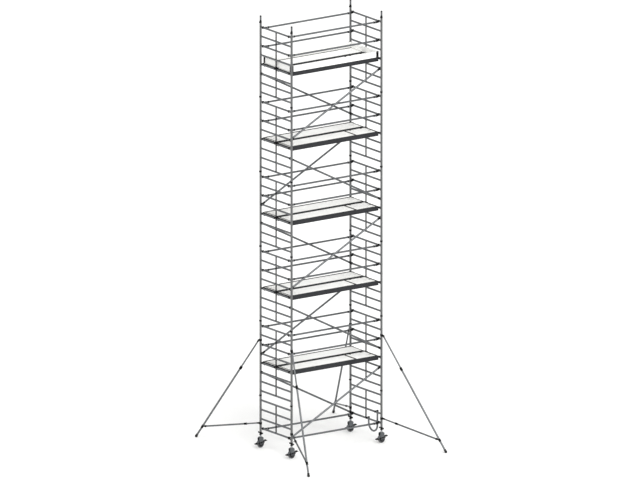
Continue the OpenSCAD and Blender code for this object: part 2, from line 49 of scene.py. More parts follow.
# metres and degrees throughout; X runs along the bay, Y across it, Z up
fitGap = 0.0003                # keeps a piece clear of the CAD surface that it sits on
tower = {
    "firstRung": 0.100,        # lowest rung above its frame's lower end
    "rungsPerBase": 4,
    "rungsPerLift": 8,
    "rungRadius": 0.025,
    "railRadius": 0.025,
    "postRadius": 0.018,
    "railPlane": 0.584,        # rails and braces, each way from the middle of the tower
    "bracePlane": 0.643,
    "railDrop": 0.015,         # a rail's axis below the axis of its rung
    "railsAboveDeck": (2, 4),  # in rungs above the deck
    "braceClimb": 6,           # in rungs
}
corners = ["fl", "fr", "bl", "br"]
lifts = sum(1 for name in frame["nodes"] if name.startswith("hatch_flap_"))
spigotAt = {m["name"][-2:]: m["pos_m"] for m in record["mounts"] if m["name"].startswith("spigot_")}
footAt = {m["name"][-2:]: m["pos_m"] for m in record["mounts"] if m["name"].startswith("foot_")}
hingeAt = {j["child"]: j["pos_m"] for j in frame["joints"] if j["type"] == "hinge"}
baseLow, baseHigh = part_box("base_frames")
halfLength, halfWidth = spigotAt["fr"][0], spigotAt["br"][1]
uprightRadius = baseHigh.y - halfWidth
rungRadius, railRadius = tower["rungRadius"], tower["railRadius"]
rungPitch = (baseHigh.z - baseLow.z) / tower["rungsPerBase"]
rungCount = tower["rungsPerBase"] + lifts * tower["rungsPerLift"]
deckRungs = [2 * tower["rungsPerBase"] - 1 + k * tower["rungsPerLift"] for k in range(lifts)]
cornerAt = {c: np.array([spigotAt[c][0], spigotAt[c][1], 0.0]) for c in corners}


def rungHeight(n):
    return baseLow.z + tower["firstRung"] + n * rungPitch


def jointHeight(k):
    return baseHigh.z + k * tower["rungsPerLift"] * rungPitch


def gridMesh(net, closeU=False, closeV=False):
    # a net of points becomes quads; a closed direction joins its last row to its first
    rows, columns = net.shape[:2]
    ids = np.arange(rows * columns).reshape(rows, columns)
    if closeU:
        ids = np.vstack([ids, ids[:1]])
    if closeV:
        ids = np.hstack([ids, ids[:, :1]])
    quads = np.stack([ids[:-1, :-1], ids[1:, :-1], ids[1:, 1:], ids[:-1, 1:]], -1).reshape(-1, 4)
    return net.reshape(-1, 3), [quads]


def ringStack(rings):
    # rings stacked upwards become one skin, and each end is closed by a fan to its middle
    rings = rings[::-1]
    points, faces = gridMesh(rings, closeV=True)
    rows, sides = rings.shape[:2]
    ring, count, low = np.arange(sides), len(points), (rows - 1) * sides
    after = (ring + 1) % sides
    lowFan = np.stack([low + ring, np.full(sides, count), low + after], -1)
    highFan = np.stack([ring, after, np.full(sides, count + 1)], -1)
    return np.vstack([points, rings[-1].mean(0), rings[0].mean(0)]), faces + [lowFan, highFan]


def circles(profile, sides):
    # each (radius, height) pair becomes a ring: x = r cos t, y = r sin t, z = h
    r, h = np.asarray(profile, float).T
    t = np.linspace(0, 2 * math.pi, sides, endpoint=False)
    return np.stack([r[:, None] * np.cos(t), r[:, None] * np.sin(t), np.repeat(h[:, None], sides, 1)], -1)


def lathe(profile, sides=32):
    # a closed outline with a bore, counter-clockwise in radius and height, turned round Z
    return gridMesh(circles(profile, sides)[::-1], closeU=True, closeV=True)


def turned(profile, sides=24):
    # a solid without a bore, from its lowest ring to its highest
    return ringStack(circles(profile, sides))


def move(part, shift=(0, 0, 0), turn=None):
    # turned about the origin first, then shifted
    points = part[0] if turn is None else part[0] @ np.asarray(turn).T
    return points + np.asarray(shift, float), part[1]


def mirrored(part, axis):
    # negates one coordinate, and turns the faces over so that they still point outwards
    points = part[0].copy()
    points[:, axis] *= -1
    return points, [f[:, ::-1] for f in part[1]]


def facing(part, sx, sy):
    # a part drawn for the +X +Y quarter, mirrored into the quarter that the two signs give
    part = part if sx > 0 else mirrored(part, 0)
    return part if sy > 0 else mirrored(part, 1)


def join(parts):
    # several parts as one: each part's faces are numbered on from the points before them
    offset, points, faces = 0, [], []
    for part in parts:
        points.append(part[0])
        faces += [f + offset for f in part[1]]
        offset += len(part[0])
    return np.vstack(points), faces


def turnAbout(axis, angle):
    # right-handed turn: the cosine and sine of the angle in the plane square to the axis
    c, s = math.cos(math.radians(angle)), math.sin(math.radians(angle))
    i, j = {"x": (1, 2), "y": (2, 0), "z": (0, 1)}[axis]
    m = np.eye(3)
    m[i, i], m[i, j], m[j, i], m[j, j] = c, -s, s, c
    return m


def aim(direction):
    # turns +Z onto the direction and keeps +Y level
    d = np.asarray(direction, float) / np.linalg.norm(direction)
    across = np.cross(d, [1.0, 0, 0]) if abs(d[2]) > 0.999 else np.cross([0, 0, 1.0], d)
    across = across / np.linalg.norm(across)
    return np.stack([np.cross(across, d), across, d], 1)


def prism(outline, depth, centre=0.0):
    # a counter-clockwise outline in XZ carried along Y, with both ends closed
    flat = np.asarray(outline, float)
    n = len(flat)
    sides = centre - depth / 2, centre + depth / 2
    net = np.stack([np.stack([flat[:, 0], np.full(n, y), flat[:, 1]], -1) for y in sides])
    points, faces = gridMesh(net, closeV=True)
    ids = np.arange(n)[None, :]
    return points, faces + [ids, (ids + n)[:, ::-1]]


def bar(outline, length, centre=0.0):
    # the same, with the outline in YZ and carried along X
    return move(prism(outline, length), (centre, 0, 0), turnAbout("z", 90))


def block(size, centre=(0, 0, 0)):
    # a box from its three sizes and its middle
    x, y, z = np.asarray(size, float) / 2
    return move(prism([[-x, -z], [x, -z], [x, z], [-x, z]], 2 * y), centre)


def arc(radius, fromAngle, toAngle, count, centre=(0, 0)):
    # points on a circle: centre + radius (cos t, sin t)
    t = np.radians(np.linspace(fromAngle, toAngle, count))
    return np.stack([centre[0] + radius * np.cos(t), centre[1] + radius * np.sin(t)], -1)


def rounded(outline, passes=2):
    # corner cutting: each pass swaps a corner for points a quarter and three quarters along its edges
    points = np.asarray(outline, float)
    for _ in range(passes):
        after = np.roll(points, -1, 0)
        points = np.stack([points * 0.75 + after * 0.25, points * 0.25 + after * 0.75], 1).reshape(-1, 2)
    return points


def tubeAlong(path, radius, side, sides=8, closed=False):
    # a circle square to the path's direction; side points away from the path where the circle starts
    path = np.asarray(path, float)
    ahead = (np.roll(path, -1, 0) - np.roll(path, 1, 0)) if closed else np.gradient(path, axis=0)
    ahead = ahead / np.linalg.norm(ahead, axis=1, keepdims=True)
    side = np.broadcast_to(np.asarray(side, float), path.shape)
    first = side - (side * ahead).sum(1, keepdims=True) * ahead
    first = first / np.linalg.norm(first, axis=1, keepdims=True)
    second = np.cross(ahead, first)
    t = np.linspace(0, 2 * math.pi, sides, endpoint=False)[None, :, None]
    rings = path[:, None] + radius * (np.cos(t) * first[:, None] + np.sin(t) * second[:, None])
    return gridMesh(rings[::-1], closeU=True, closeV=True) if closed else ringStack(rings)


def boltHead(radius, height, sides=6):
    # a short prism of six sides with its top edge cut back
    return turned([[radius, 0], [radius, height * 0.75], [radius * 0.82, height]], sides)


def dome(radius, height, sides=12):
    # a rivet head: the radius falls as the cosine while the height climbs as the sine
    t = np.radians([0, 30, 60, 82])
    return turned(np.stack([radius * np.cos(t), height * np.sin(t)], -1), sides)


def atEach(part, places):
    # copies of one small part at many places
    places = np.asarray(places, float)
    count = len(part[0])
    points = (part[0][None] + places[:, None]).reshape(-1, 3)
    shifts = np.arange(len(places)) * count
    return points, [(f[None] + shifts[:, None, None]).reshape(-1, f.shape[1]) for f in part[1]]


def makePiece(name, parts, material, body, replaced=(), bevel=0.0):
    # arrays go straight into a mesh; faces that meet at over 35 degrees keep a sharp edge
    points, faces = join(parts)
    mesh = bpy.data.meshes.new(name)
    sizes = np.concatenate([np.full(len(f), f.shape[1]) for f in faces])
    mesh.vertices.add(len(points))
    mesh.vertices.foreach_set("co", points.astype(np.float32).ravel())
    mesh.loops.add(int(sizes.sum()))
    mesh.loops.foreach_set("vertex_index", np.concatenate([f.ravel() for f in faces]).astype(np.int32))
    mesh.polygons.add(len(sizes))
    mesh.polygons.foreach_set("loop_start", (np.cumsum(sizes) - sizes).astype(np.int32))
    mesh.update(calc_edges=True)
    mesh.validate()
    mesh.shade_smooth()
    mesh.set_sharp_from_angle(angle=math.radians(35))
    mesh.materials.append(material)
    piece = bpy.data.objects.new(name, mesh)
    bpy.context.scene.collection.objects.link(piece)
    if bevel:
        soft = piece.modifiers.new("softEdges", "BEVEL")
        soft.width, soft.segments, soft.limit_method, soft.angle_limit = bevel, 2, "ANGLE", math.radians(50)
        soft.harden_normals = True
    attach(piece, body)
    if replaced:
        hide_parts(*replaced)
    return piece


def linear(hexColour):
    # sRGB to linear: a straight part near black, a 2.4 power above it
    values = [int(hexColour[i:i + 2], 16) / 255 for i in (1, 3, 5)]
    return [v / 12.92 if v <= 0.04045 else ((v + 0.055) / 1.055) ** 2.4 for v in values] + [1.0]


def addNode(tree, kind, settings=None, **inputs):
    # an input is named, or numbered as i0, i1; its value is a constant or an output to link
    node = tree.nodes.new(kind)
    for key, value in (settings or {}).items():
        setattr(node, key, value)
    for key, value in inputs.items():
        socket = node.inputs[int(key[1:])] if key[1:].isdigit() else node.inputs[key.replace("_", " ")]
        if isinstance(value, bpy.types.NodeSocket):
            tree.links.new(value, socket)
        else:
            socket.default_value = value
    return node.outputs[0] if kind != "ShaderNodeMix" or node.data_type == "FLOAT" else node.outputs[2]


patterns = {
    "streakWidth": 0.004,      # real draw lines are near 0.1 mm, so these are drawn coarser to show
    "streakLength": 0.9,
    "streakDepth": 0.0004,
    "cloud": 0.2,              # handling and weather cloud a tube over about 200 mm
    "frameCloud": 0.25,
    "panelCloud": 0.3,
    "drift": 0.07,             # slow change of tone over a casting or moulding
    "weldDull": 0.030,         # how far from a weld its heat dulls the rung
    "weldTint": "#6e6d6a",
    "gripCell": 0.012,
    "gripDepth": 0.0006,
}


def startMaterial(name, metallic, roughness, specular=0.5):
    # a plain shader with its constants set, and the object's own coordinates
    material = bpy.data.materials.new(name)
    material.use_nodes = True
    tree = material.node_tree
    shader = tree.nodes["Principled BSDF"]
    shader.inputs["Metallic"].default_value = metallic
    shader.inputs["Roughness"].default_value = roughness
    shader.inputs["Specular IOR Level"].default_value = specular
    return material, tree, shader, tree.nodes.new("ShaderNodeTexCoord").outputs["Object"]


def colourRamp(tree, factor, dark, light):
    # noise keeps near its middle, so the two colours stand at 0.3 and 0.7
    ramp = tree.nodes.new("ShaderNodeValToRGB")
    tree.links.new(factor, ramp.inputs[0])
    for element, position, colour in zip(ramp.color_ramp.elements, (0.3, 0.7), (dark, light)):
        element.position, element.color = position, linear(colour)
    return ramp.outputs[0]


def noise(tree, place, size, detail=3.0):
    # one size for all axes, or a size in metres along each
    scale = [1 / s for s in size] if hasattr(size, "__len__") else [1 / size] * 3
    stretched = addNode(tree, "ShaderNodeMapping", None, Vector=place, Scale=scale)
    return addNode(tree, "ShaderNodeTexNoise", None, Vector=stretched, Scale=1.0, Detail=detail)


def finishOff(tree, shader, colour, gloss, roughness, bumpHeight, bumpDepth, strength=0.3):
    # colour, a roughness that drifts a little below and above its value, and a bump in metres
    tree.links.new(colour, shader.inputs["Base Color"])
    rough = addNode(tree, "ShaderNodeMapRange", None, Value=gloss, i3=roughness - 0.06, i4=roughness + 0.10)
    tree.links.new(rough, shader.inputs["Roughness"])
    bump = addNode(tree, "ShaderNodeBump", None, Strength=strength, Distance=bumpDepth, Height=bumpHeight)
    tree.links.new(bump, shader.inputs["Normal"])


def drawnAluminium(name, dark, light, along, roughness=0.38, metallic=1.0, specular=0.5):
    # tube drawn through a die: long streaks along it, and a soft cloudy sheen
    material, tree, shader, place = startMaterial(name, metallic, roughness, specular)
    size = [patterns["streakWidth"]] * 3
    size["xyz".index(along)] = patterns["streakLength"]
    streaks, clouds = noise(tree, place, size), noise(tree, place, patterns["cloud"], 4.0)
    mixed = addNode(tree, "ShaderNodeMix", {"data_type": "FLOAT"}, Factor=0.45, A=streaks, B=clouds)
    finishOff(tree, shader, colourRamp(tree, mixed, dark, light), clouds, roughness, streaks,
              patterns["streakDepth"])
    return material


def frameAluminium(name, dark, light, roughness=0.40):
    # the same tube in a welded frame: streaks run up the uprights and along the rungs, which are
    # dulled near their welds
    material, tree, shader, place = startMaterial(name, 1.0, roughness)
    parts = tree.nodes.new("ShaderNodeSeparateXYZ")
    tree.links.new(place, parts.inputs[0])
    away = addNode(tree, "ShaderNodeMath", {"operation": "ABSOLUTE"}, i0=parts.outputs["Y"])
    inner = halfWidth - uprightRadius
    isUpright = addNode(tree, "ShaderNodeMath", {"operation": "GREATER_THAN"}, i0=away, i1=inner - 0.0002)
    fine, long = patterns["streakWidth"], patterns["streakLength"]
    streaks = addNode(tree, "ShaderNodeMix", {"data_type": "FLOAT"}, Factor=isUpright,
                      A=noise(tree, place, (fine, long, fine)), B=noise(tree, place, (fine, fine, long)))
    clouds = noise(tree, place, patterns["frameCloud"], 4.0)
    mixed = addNode(tree, "ShaderNodeMix", {"data_type": "FLOAT"}, Factor=0.45, A=streaks, B=clouds)
    nearWeld = addNode(tree, "ShaderNodeMapRange", {"interpolation_type": "SMOOTHSTEP"}, Value=away,
                       i1=inner - patterns["weldDull"], i2=inner, i3=0.0, i4=0.4)
    colour = addNode(tree, "ShaderNodeMix", {"data_type": "RGBA"}, i0=nearWeld,
                     i6=colourRamp(tree, mixed, dark, light), i7=linear(patterns["weldTint"]))
    finishOff(tree, shader, colour, clouds, roughness, streaks, patterns["streakDepth"])
    return material


def grained(name, dark, light, metallic, roughness, grain, depth, specular=0.5):
    # a cast, moulded or coated surface: an even grain, with a broad drift of tone and gloss;
    # moulded and blackened grains are near 0.2 mm, so they are drawn at 1 to 2 mm to show
    material, tree, shader, place = startMaterial(name, metallic, roughness, specular)
    fine, broad = noise(tree, place, grain), noise(tree, place, patterns["drift"])
    mixed = addNode(tree, "ShaderNodeMix", {"data_type": "FLOAT"}, Factor=0.5, A=fine, B=broad)
    finishOff(tree, shader, colourRamp(tree, mixed, dark, light), broad, roughness, fine, depth)
    return material


def gripPanel(name, dark, light, roughness):
    # a walking surface pressed with a net of small cells, on a board with a faint broad cloudiness
    material, tree, shader, place = startMaterial(name, 0.0, roughness)
    cells = addNode(tree, "ShaderNodeTexVoronoi", {"feature": "DISTANCE_TO_EDGE"}, Vector=place,
                    Scale=1 / patterns["gripCell"], Randomness=0.15)
    raised = addNode(tree, "ShaderNodeMapRange", {"interpolation_type": "SMOOTHSTEP"}, Value=cells,
                     i1=0.03, i2=0.14, i3=1.0, i4=0.0)
    clouds = noise(tree, place, patterns["panelCloud"], 4.0)
    mixed = addNode(tree, "ShaderNodeMath", {"operation": "MULTIPLY_ADD"}, i0=raised, i1=-0.25, i2=clouds)
    finishOff(tree, shader, colourRamp(tree, mixed, dark, light), clouds, roughness, raised,
              patterns["gripDepth"], 0.5)
    return material


finishes = {
    # mill-finish aluminium, drawn and welded: a plain grey metal with streaks and dulled weld ends
    "frame": frameAluminium("millAluminiumFrame", "#5f6164", "#7d7f81"),
    # aluminium drawn through a die: soft streaked highlights that run along each tube
    "rail": drawnAluminium("drawnAluminiumRail", "#606265", "#7c7e80", "x"),
    "brace": drawnAluminium("brightAluminiumBrace", "#585a5c", "#7b7d7f", "x", 0.34),
    "step": drawnAluminium("drawnAluminiumStep", "#5f6164", "#7d7f81", "z"),
    "strut": drawnAluminium("drawnAluminiumStrut", "#595b5d", "#7c7e80", "z"),
    # turned aluminium: smoother than the drawn tube, so its highlight is narrower
    "spigot": drawnAluminium("turnedAluminiumSpigot", "#5c5e60", "#77797b", "z", 0.30),
    # powder coat: matt black with the fine orange peel of the cured powder
    "casting": grained("blackPowderCoat", "#070708", "#121213", 0.0, 0.60, 0.0016, 0.0002, 0.15),
    "post": grained("darkPowderCoat", "#08080a", "#131315", 0.0, 0.60, 0.0016, 0.0002, 0.15),
    # weld metal: bright, with the ripple of the torch
    "weld": grained("aluminiumWeld", "#5f6060", "#848584", 1.0, 0.46, 0.0030, 0.0006),
    # coated extrusion: deep grey and matt, with its extrusion lines showing through the coat
    "beam": drawnAluminium("darkCoatedAluminium", "#242527", "#333437", "x", 0.60, 0.0, 0.15),
    # the same coat on flat strip: nearly black and without lines, so it edges the pale boards
    "trim": grained("blackCoatedAluminium", "#060607", "#101011", 0.0, 0.65, 0.0016, 0.0002, 0.1),
    # zinc plate on a rolled screw: the brightest metal here, with crisp glints on the thread
    "spindle": drawnAluminium("zincPlatedSpindle", "#7e8082", "#9d9fa1", "z", 0.30),
    # zinc plate on pressed steel: bright, faintly mottled
    "forkSteel": grained("zincPlatedPressing", "#595c5f", "#797c7e", 1.0, 0.36, 0.0060, 0.00006),
    # blackened steel: dark, with a low oily sheen on its edges
    "boltSteel": grained("blackenedSteel", "#141416", "#242527", 0.6, 0.38, 0.0010, 0.0001),
    # moulded polyurethane: mid grey, soft and scuffed, with no sharp highlight
    "tyre": grained("greyPolyurethane", "#4c4d4f", "#5d5e60", 0.0, 0.55, 0.0018, 0.0002),
    # moulded hub: dark plastic with a satin skin from the mould
    "hub": grained("darkMouldedHub", "#1b1b1d", "#29292b", 0.0, 0.48, 0.0014, 0.0001),
    # moulded nylon: black and dry, with a faint spark-eroded grain
    "nylon": grained("blackMouldedNylon", "#070708", "#131314", 0.0, 0.60, 0.0014, 0.0002, 0.2),
    # moulded rubber: the dullest black, with the coarsest grain
    "rubber": grained("mouldedRubber", "#080808", "#131314", 0.0, 0.72, 0.0022, 0.0004),
    # resin-faced plywood: pale and matt, with a pressed net that catches low light
    "panel": gripPanel("phenolicDeckBoard", "#f0f0ed", "#fbfbf9", 0.60),
    # painted board: pale, with the slight waviness of rolled paint
    "toeBoard": grained("paintedToeBoard", "#eeeeeb", "#f9f9f7", 0.0, 0.50, 0.0040, 0.0003),
}
nodeFinish = {
    "base_frames": "frame", "end_frames": "frame", "centre_posts": "post", "base_beams": "rail",
    "braces": "brace", "guardrails": "rail", "deck_panels": "panel", "access_step": "step",
    "stabiliser_frame": "strut", "stabiliser_leg": "strut",
}
for nodeName, node in frame["nodes"].items():
    family = nodeName if nodeName in nodeFinish else nodeName.rsplit("_", 1)[0]
    node.data.materials.clear()
    node.data.materials.append(finishes[nodeFinish.get(family, "casting")])
print("materials: one finish on each CAD tube and panel")

weld = {"beadRadius": 0.0042, "steps": 16, "sides": 5, "ripple": 0.12, "ripples": 5, "postBead": 0.003,
        "postSteps": 12, "postSides": 4}


def rungWelds():
    # a closed bead on the saddle where rung and upright meet:
    # x and z go round the rung, and y = half width - root(upright radius^2 - x^2)
    t = np.linspace(0, 2 * math.pi, weld["steps"], endpoint=False)
    r = rungRadius + 0.001
    x, z = r * np.cos(t), r * np.sin(t)
    y = halfWidth - np.sqrt(uprightRadius ** 2 - x ** 2) - 0.001
    thick = weld["beadRadius"] * (1 + weld["ripple"] * np.sin(weld["ripples"] * t))[:, None, None]
    out = np.stack([np.cos(t), np.zeros_like(t), np.sin(t)], -1)
    bead = tubeAlong(np.stack([x, y, z], -1), thick, out, weld["sides"], closed=True)
    ends = join([bead, mirrored(bead, 1)])
    return atEach(ends, [[s * halfLength, 0, rungHeight(n)] for s in (-1, 1) for n in range(rungCount)])


def postWelds():
    # the same on the saddle where a centre post meets a rung: z = root(rung radius^2 - x^2)
    t = np.linspace(0, 2 * math.pi, weld["postSteps"], endpoint=False)
    r = tower["postRadius"] + 0.0005
    x, y = r * np.cos(t), r * np.sin(t)
    z = np.sqrt(rungRadius ** 2 - x ** 2) + 0.0005
    out = np.stack([np.cos(t), np.sin(t), np.zeros_like(t)], -1)
    bead = tubeAlong(np.stack([x, y, z], -1), weld["postBead"], out, weld["postSides"], closed=True)
    spans = [n for n in range(rungCount - 1) if (n + tower["rungsPerBase"] + 1) % tower["rungsPerLift"]]
    above = [[s * halfLength, 0, rungHeight(n)] for s in (-1, 1) for n in spans]
    below = [[s * halfLength, 0, rungHeight(n + 1)] for s in (-1, 1) for n in spans]
    return join([atEach(bead, above), atEach(mirrored(bead, 2), below)])


makePiece("rungWelds", [rungWelds()], finishes["weld"], "tower")
makePiece("postWelds", [postWelds()], finishes["post"], "tower")

spigot = {"freeRadius": 0.0265, "fixedRadius": 0.0274, "wall": 0.003, "out": 0.150, "fixed": 0.120,
          "chamfer": 0.006, "capDepth": 0.022, "bandHeight": 0.030}


def makeSpigots():
    # a turned sleeve with a cut-back tip; the four free ones carry a plastic cap and a dark band
    s = spigot
    r, tip, seat = s["freeRadius"], s["out"], s["out"] - s["capDepth"]
    bore = r - s["wall"]
    body = lathe([[bore, -s["fixed"]], [s["fixedRadius"], -s["fixed"]], [s["fixedRadius"], 0], [r, 0],
                  [r, tip - s["chamfer"]], [r - 0.0018, tip - 0.0005], [bore, tip - 0.0005]])
    cap = turned([[bore - 0.001, tip - 0.03], [bore, seat], [r + 0.0012, seat], [r + 0.0012, tip - 0.006],
                  [r - 0.003, tip]])
    band = lathe([[r, 0.0005], [r + 0.001, 0.0005], [r + 0.001, s["bandHeight"]], [r, s["bandHeight"]]])
    pin = move(dome(0.007, 0.004, 16), (0, -r + 0.001, s["out"] / 2), turnAbout("x", 90))
    places = [cornerAt[c] + [0, 0, jointHeight(k)] for c in corners for k in range(lifts + 1)]
    tops = [cornerAt[c] + [0, 0, jointHeight(lifts)] for c in corners]
    makePiece("spigotSleeves", [atEach(body, places)], finishes["spigot"], "tower",
              ["spigots"])
    makePiece("spigotCaps", [atEach(join([cap, band, pin]), tops)], finishes["nylon"], "tower")


makeSpigots()

frameLock = {"height": 0.042, "below": 0.002, "wall": 0.004, "ear": (0.020, 0.016, 0.026), "pinRadius": 0.004,
             "pullRadius": 0.009}


def makeFrameLocks():
    # a cast ring with rolled lips, an ear, a spring pin through it and the pin's pull ring
    r, out, h = uprightRadius + fitGap, uprightRadius + frameLock["wall"], frameLock["height"]
    ring = lathe([[r, 0], [out, 0], [out, 0.007], [out - 0.0018, 0.010], [out - 0.0018, h - 0.010],
                  [out, h - 0.007], [out, h], [r, h]], 36)
    ear = block(frameLock["ear"], (-out - 0.006, 0, h / 2))
    pin = move(turned([[frameLock["pinRadius"], -0.013], [frameLock["pinRadius"], 0.013]], 12),
               (-out - 0.0075, 0, h / 2), turnAbout("x", 90))
    t = np.linspace(0, 2 * math.pi, 18, endpoint=False)
    loop = np.stack([np.zeros_like(t), np.cos(t), np.sin(t)], -1) * frameLock["pullRadius"]
    pull = move(tubeAlong(loop, 0.0012, [1, 0, 0], 6, closed=True), (-out - 0.0075, -0.0145, 0.013))
    below = h + frameLock["below"]
    places = [cornerAt[c] + [0, 0, jointHeight(k) - below] for c in corners for k in range(lifts + 1)]
    makePiece("frameLocks", [atEach(join([ring, ear]), places)], finishes["casting"], "tower",
              ["frame_locks"], 0.0008)
    makePiece("lockPins", [atEach(join([pin, pull]), places)], finishes["spindle"], "tower")


makeFrameLocks()
print("frames: welds, spigots and locks")

claw = {"hookWall": 0.009, "hookWidth": 0.036, "hookLeg": 0.021, "sleeveStart": 0.028, "sleeveLength": 0.070,
        "sleeveWall": 0.004, "ribDeep": 0.0067, "latchGap": 0.002, "ringAt": 0.160, "ringWidth": 0.026}


def overRung(outer, leg, outside, inside):
    # a hook seen from the side: an arc over the rung, and two legs that reach below its middle
    inner = rungRadius + fitGap
    return np.vstack([arc(outer, -38, 218, outside), [[-inner, -leg], [-inner, 0]],
                      arc(inner, 180, 0, inside)[1:], [[inner, -leg]]])


def clawParts(drop, withRing):
    # a hook over the rung, a ribbed sleeve on the tube, a latch under the rung and its pull rod
    outer = rungRadius + claw["hookWall"]
    hook = prism(overRung(outer, claw["hookLeg"], 30, 20), claw["hookWidth"])
    spine = np.vstack([arc(outer + 0.003, 20, 160, 16), arc(outer - claw["ribDeep"], 160, 20, 16)])
    rib = prism(spine, 0.010)
    start, end = claw["sleeveStart"], claw["sleeveStart"] + claw["sleeveLength"]
    bore, skin = railRadius + 0.0002, railRadius + claw["sleeveWall"]
    sleeve = lathe([[bore, start + 0.006], [skin + 0.001, start + 0.006], [skin + 0.001, start + 0.018],
                    [skin - 0.001, start + 0.021], [skin - 0.001, end - 0.014], [skin, end - 0.011],
                    [skin, end - 0.001], [bore, end]], 28)
    face = turned([[skin, start], [skin, start + 0.008]], 28)
    alongX = turnAbout("y", 90)
    rivet = move(dome(0.006, 0.003, 10), (start + 0.040, 0, skin - 0.001 - drop))
    gap = rungRadius + claw["latchGap"]
    latch = prism([[-0.030, -gap - 0.007], [0.040, -gap - 0.007], [0.040, -gap], [-0.022, -gap],
                   [-0.030, -gap - 0.003]], 0.020)
    parts = [hook, rib, move(join([sleeve, face]), (0, 0, -drop), alongX), rivet, latch]
    if withRing:
        at, half, under = claw["ringAt"], claw["ringWidth"] / 2, -drop - skin
        grip = lathe([[bore, at - half], [skin, at - half], [skin + 0.0015, at - half + 0.004],
                      [skin + 0.0015, at + half - 0.004], [skin, at + half], [bore, at + half]], 28)
        rod = tubeAlong([[0.030, 0, -gap - 0.004], [0.060, 0, under - 0.003], [at - half, 0, under - 0.002],
                         [at, 0, under]], 0.0028, [0, 1, 0], 8)
        parts += [move(grip, (0, 0, -drop), alongX), rod]
    return join(parts)


def clawPair(part, y, a, b):
    # one claw at each end of a tube that climbs from rung a to rung b
    climb = math.degrees(math.atan2(rungHeight(b) - rungHeight(a), 2 * halfLength))
    return [move(part, (-halfLength, y, rungHeight(a)), turnAbout("y", -climb)),
            move(part, (halfLength, y, rungHeight(b)), turnAbout("z", 180) @ turnAbout("y", climb))]


def makeClaws():
    # rails lie level; braces lean the other way on the next lift, and on the other side of the tower
    railClaw, braceClaw = clawParts(tower["railDrop"], True), clawParts(0.0, False)
    rails, braces = [], []
    for side in (-1, 1):
        rails += clawPair(railClaw, side * tower["railPlane"], 0, 0)
        for k in range(lifts):
            for up in tower["railsAboveDeck"]:
                rails += clawPair(railClaw, side * tower["railPlane"], deckRungs[k] + up, deckRungs[k] + up)
            low, high = k * tower["rungsPerLift"], k * tower["rungsPerLift"] + tower["braceClimb"]
            ends = (low, high) if (k % 2 == 0) == (side < 0) else (high, low)
            braces += clawPair(braceClaw, side * tower["bracePlane"], *ends)
    makePiece("railClaws", rails, finishes["casting"], "tower", ["claws"])
    makePiece("braceClaws", braces, finishes["casting"], "tower")


makeClaws()

# each leg of the access step: its Y, and the rung that its clamp hangs on
stepClamp = {"legs": ((-0.438, 1), (-0.045, 0)), "out": 0.055, "legRadius": 0.024, "wall": 0.008,
             "width": 0.044, "saddleLeg": 0.020}


def makeStepClamps():
    # a saddle over the rung, a sleeve round the step's leg with a closed top, and a bolt across
    outline = overRung(rungRadius + stepClamp["wall"], stepClamp["saddleLeg"], 26, 18)
    saddle, r = prism(outline, stepClamp["width"]), stepClamp["legRadius"]
    sleeve = move(turned([[r + 0.006, -0.036], [r + 0.006, 0.031], [r + 0.003, 0.036]], 28),
                  (stepClamp["out"], 0, 0))
    bolt = move(boltHead(0.008, 0.006), (stepClamp["out"], -r - 0.005, -0.010), turnAbout("x", 90))
    places = [[halfLength, y, rungHeight(n)] for y, n in stepClamp["legs"]]
    makePiece("stepClamps", [atEach(join([saddle, sleeve]), places)], finishes["casting"], "tower",
              (), 0.001)
    makePiece("stepBolts", [atEach(bolt, places)], finishes["boltSteel"], "tower")


makeStepClamps()
print("rails and braces: claws, rings and clamps")

# "inner" is a deck's distance from the middle of the tower, "rise" its top above its rungs' axis
deck = {"width": 0.610, "inner": 0.015, "rise": 0.052, "beamHeight": 0.112, "flange": 0.030, "web": 0.003,
        "panelSink": 0.004, "panelThick": 0.012, "crossWidth": 0.036, "crossHeight": 0.046,
        "rivetPitch": 0.190, "hatchStart": 0.710, "hatchMargin": 0.033, "endGap": 0.044, "endTrim": 0.029,
        "sideTrim": 0.030, "trimThick": 0.0035}
beamEnd = halfLength - deck["endGap"]
crossEnd = beamEnd - deck["crossWidth"] / 2 - 0.005
hatchEnd = beamEnd - deck["hatchMargin"]


def beamOutline():
    # a channel open towards +Y, seen along the beam, with two grooves drawn down its outer face
    f, h, w = deck["flange"], deck["beamHeight"], deck["web"]
    outside = [[0.001, h], [0, h - 0.001], [0, 0.090], [0.0014, 0.0885], [0.0014, 0.0825], [0, 0.081],
               [0, 0.030], [0.0014, 0.0285], [0.0014, 0.0225], [0, 0.021], [0, 0.001], [0.001, 0]]
    return [[f - 0.001, 0], [f, 0.001], [f, 0.005], [w + 0.002, 0.005], [w, 0.007], [w, h - 0.007],
            [w + 0.002, h - 0.005], [f, h - 0.005], [f, h - 0.001], [f - 0.001, h]] + outside


def deckMetal(crosses):
    # two side beams facing each other and the cross members between their webs
    low = deck["rise"] - deck["beamHeight"]
    side = move(bar(beamOutline(), 2 * beamEnd), (0, 0, low))
    far = move(mirrored(side, 1), (0, deck["width"], 0))
    length = deck["width"] - 2 * (deck["web"] + fitGap)
    w, h = deck["crossWidth"] / 2, deck["crossHeight"]
    tube = prism([[-w, 0], [w, 0], [w, h], [-w, h]], length, deck["width"] / 2)
    top = deck["rise"] - deck["panelSink"] - deck["panelThick"]
    return join([side, far, atEach(tube, [[x, 0, top - h] for x in crosses])])


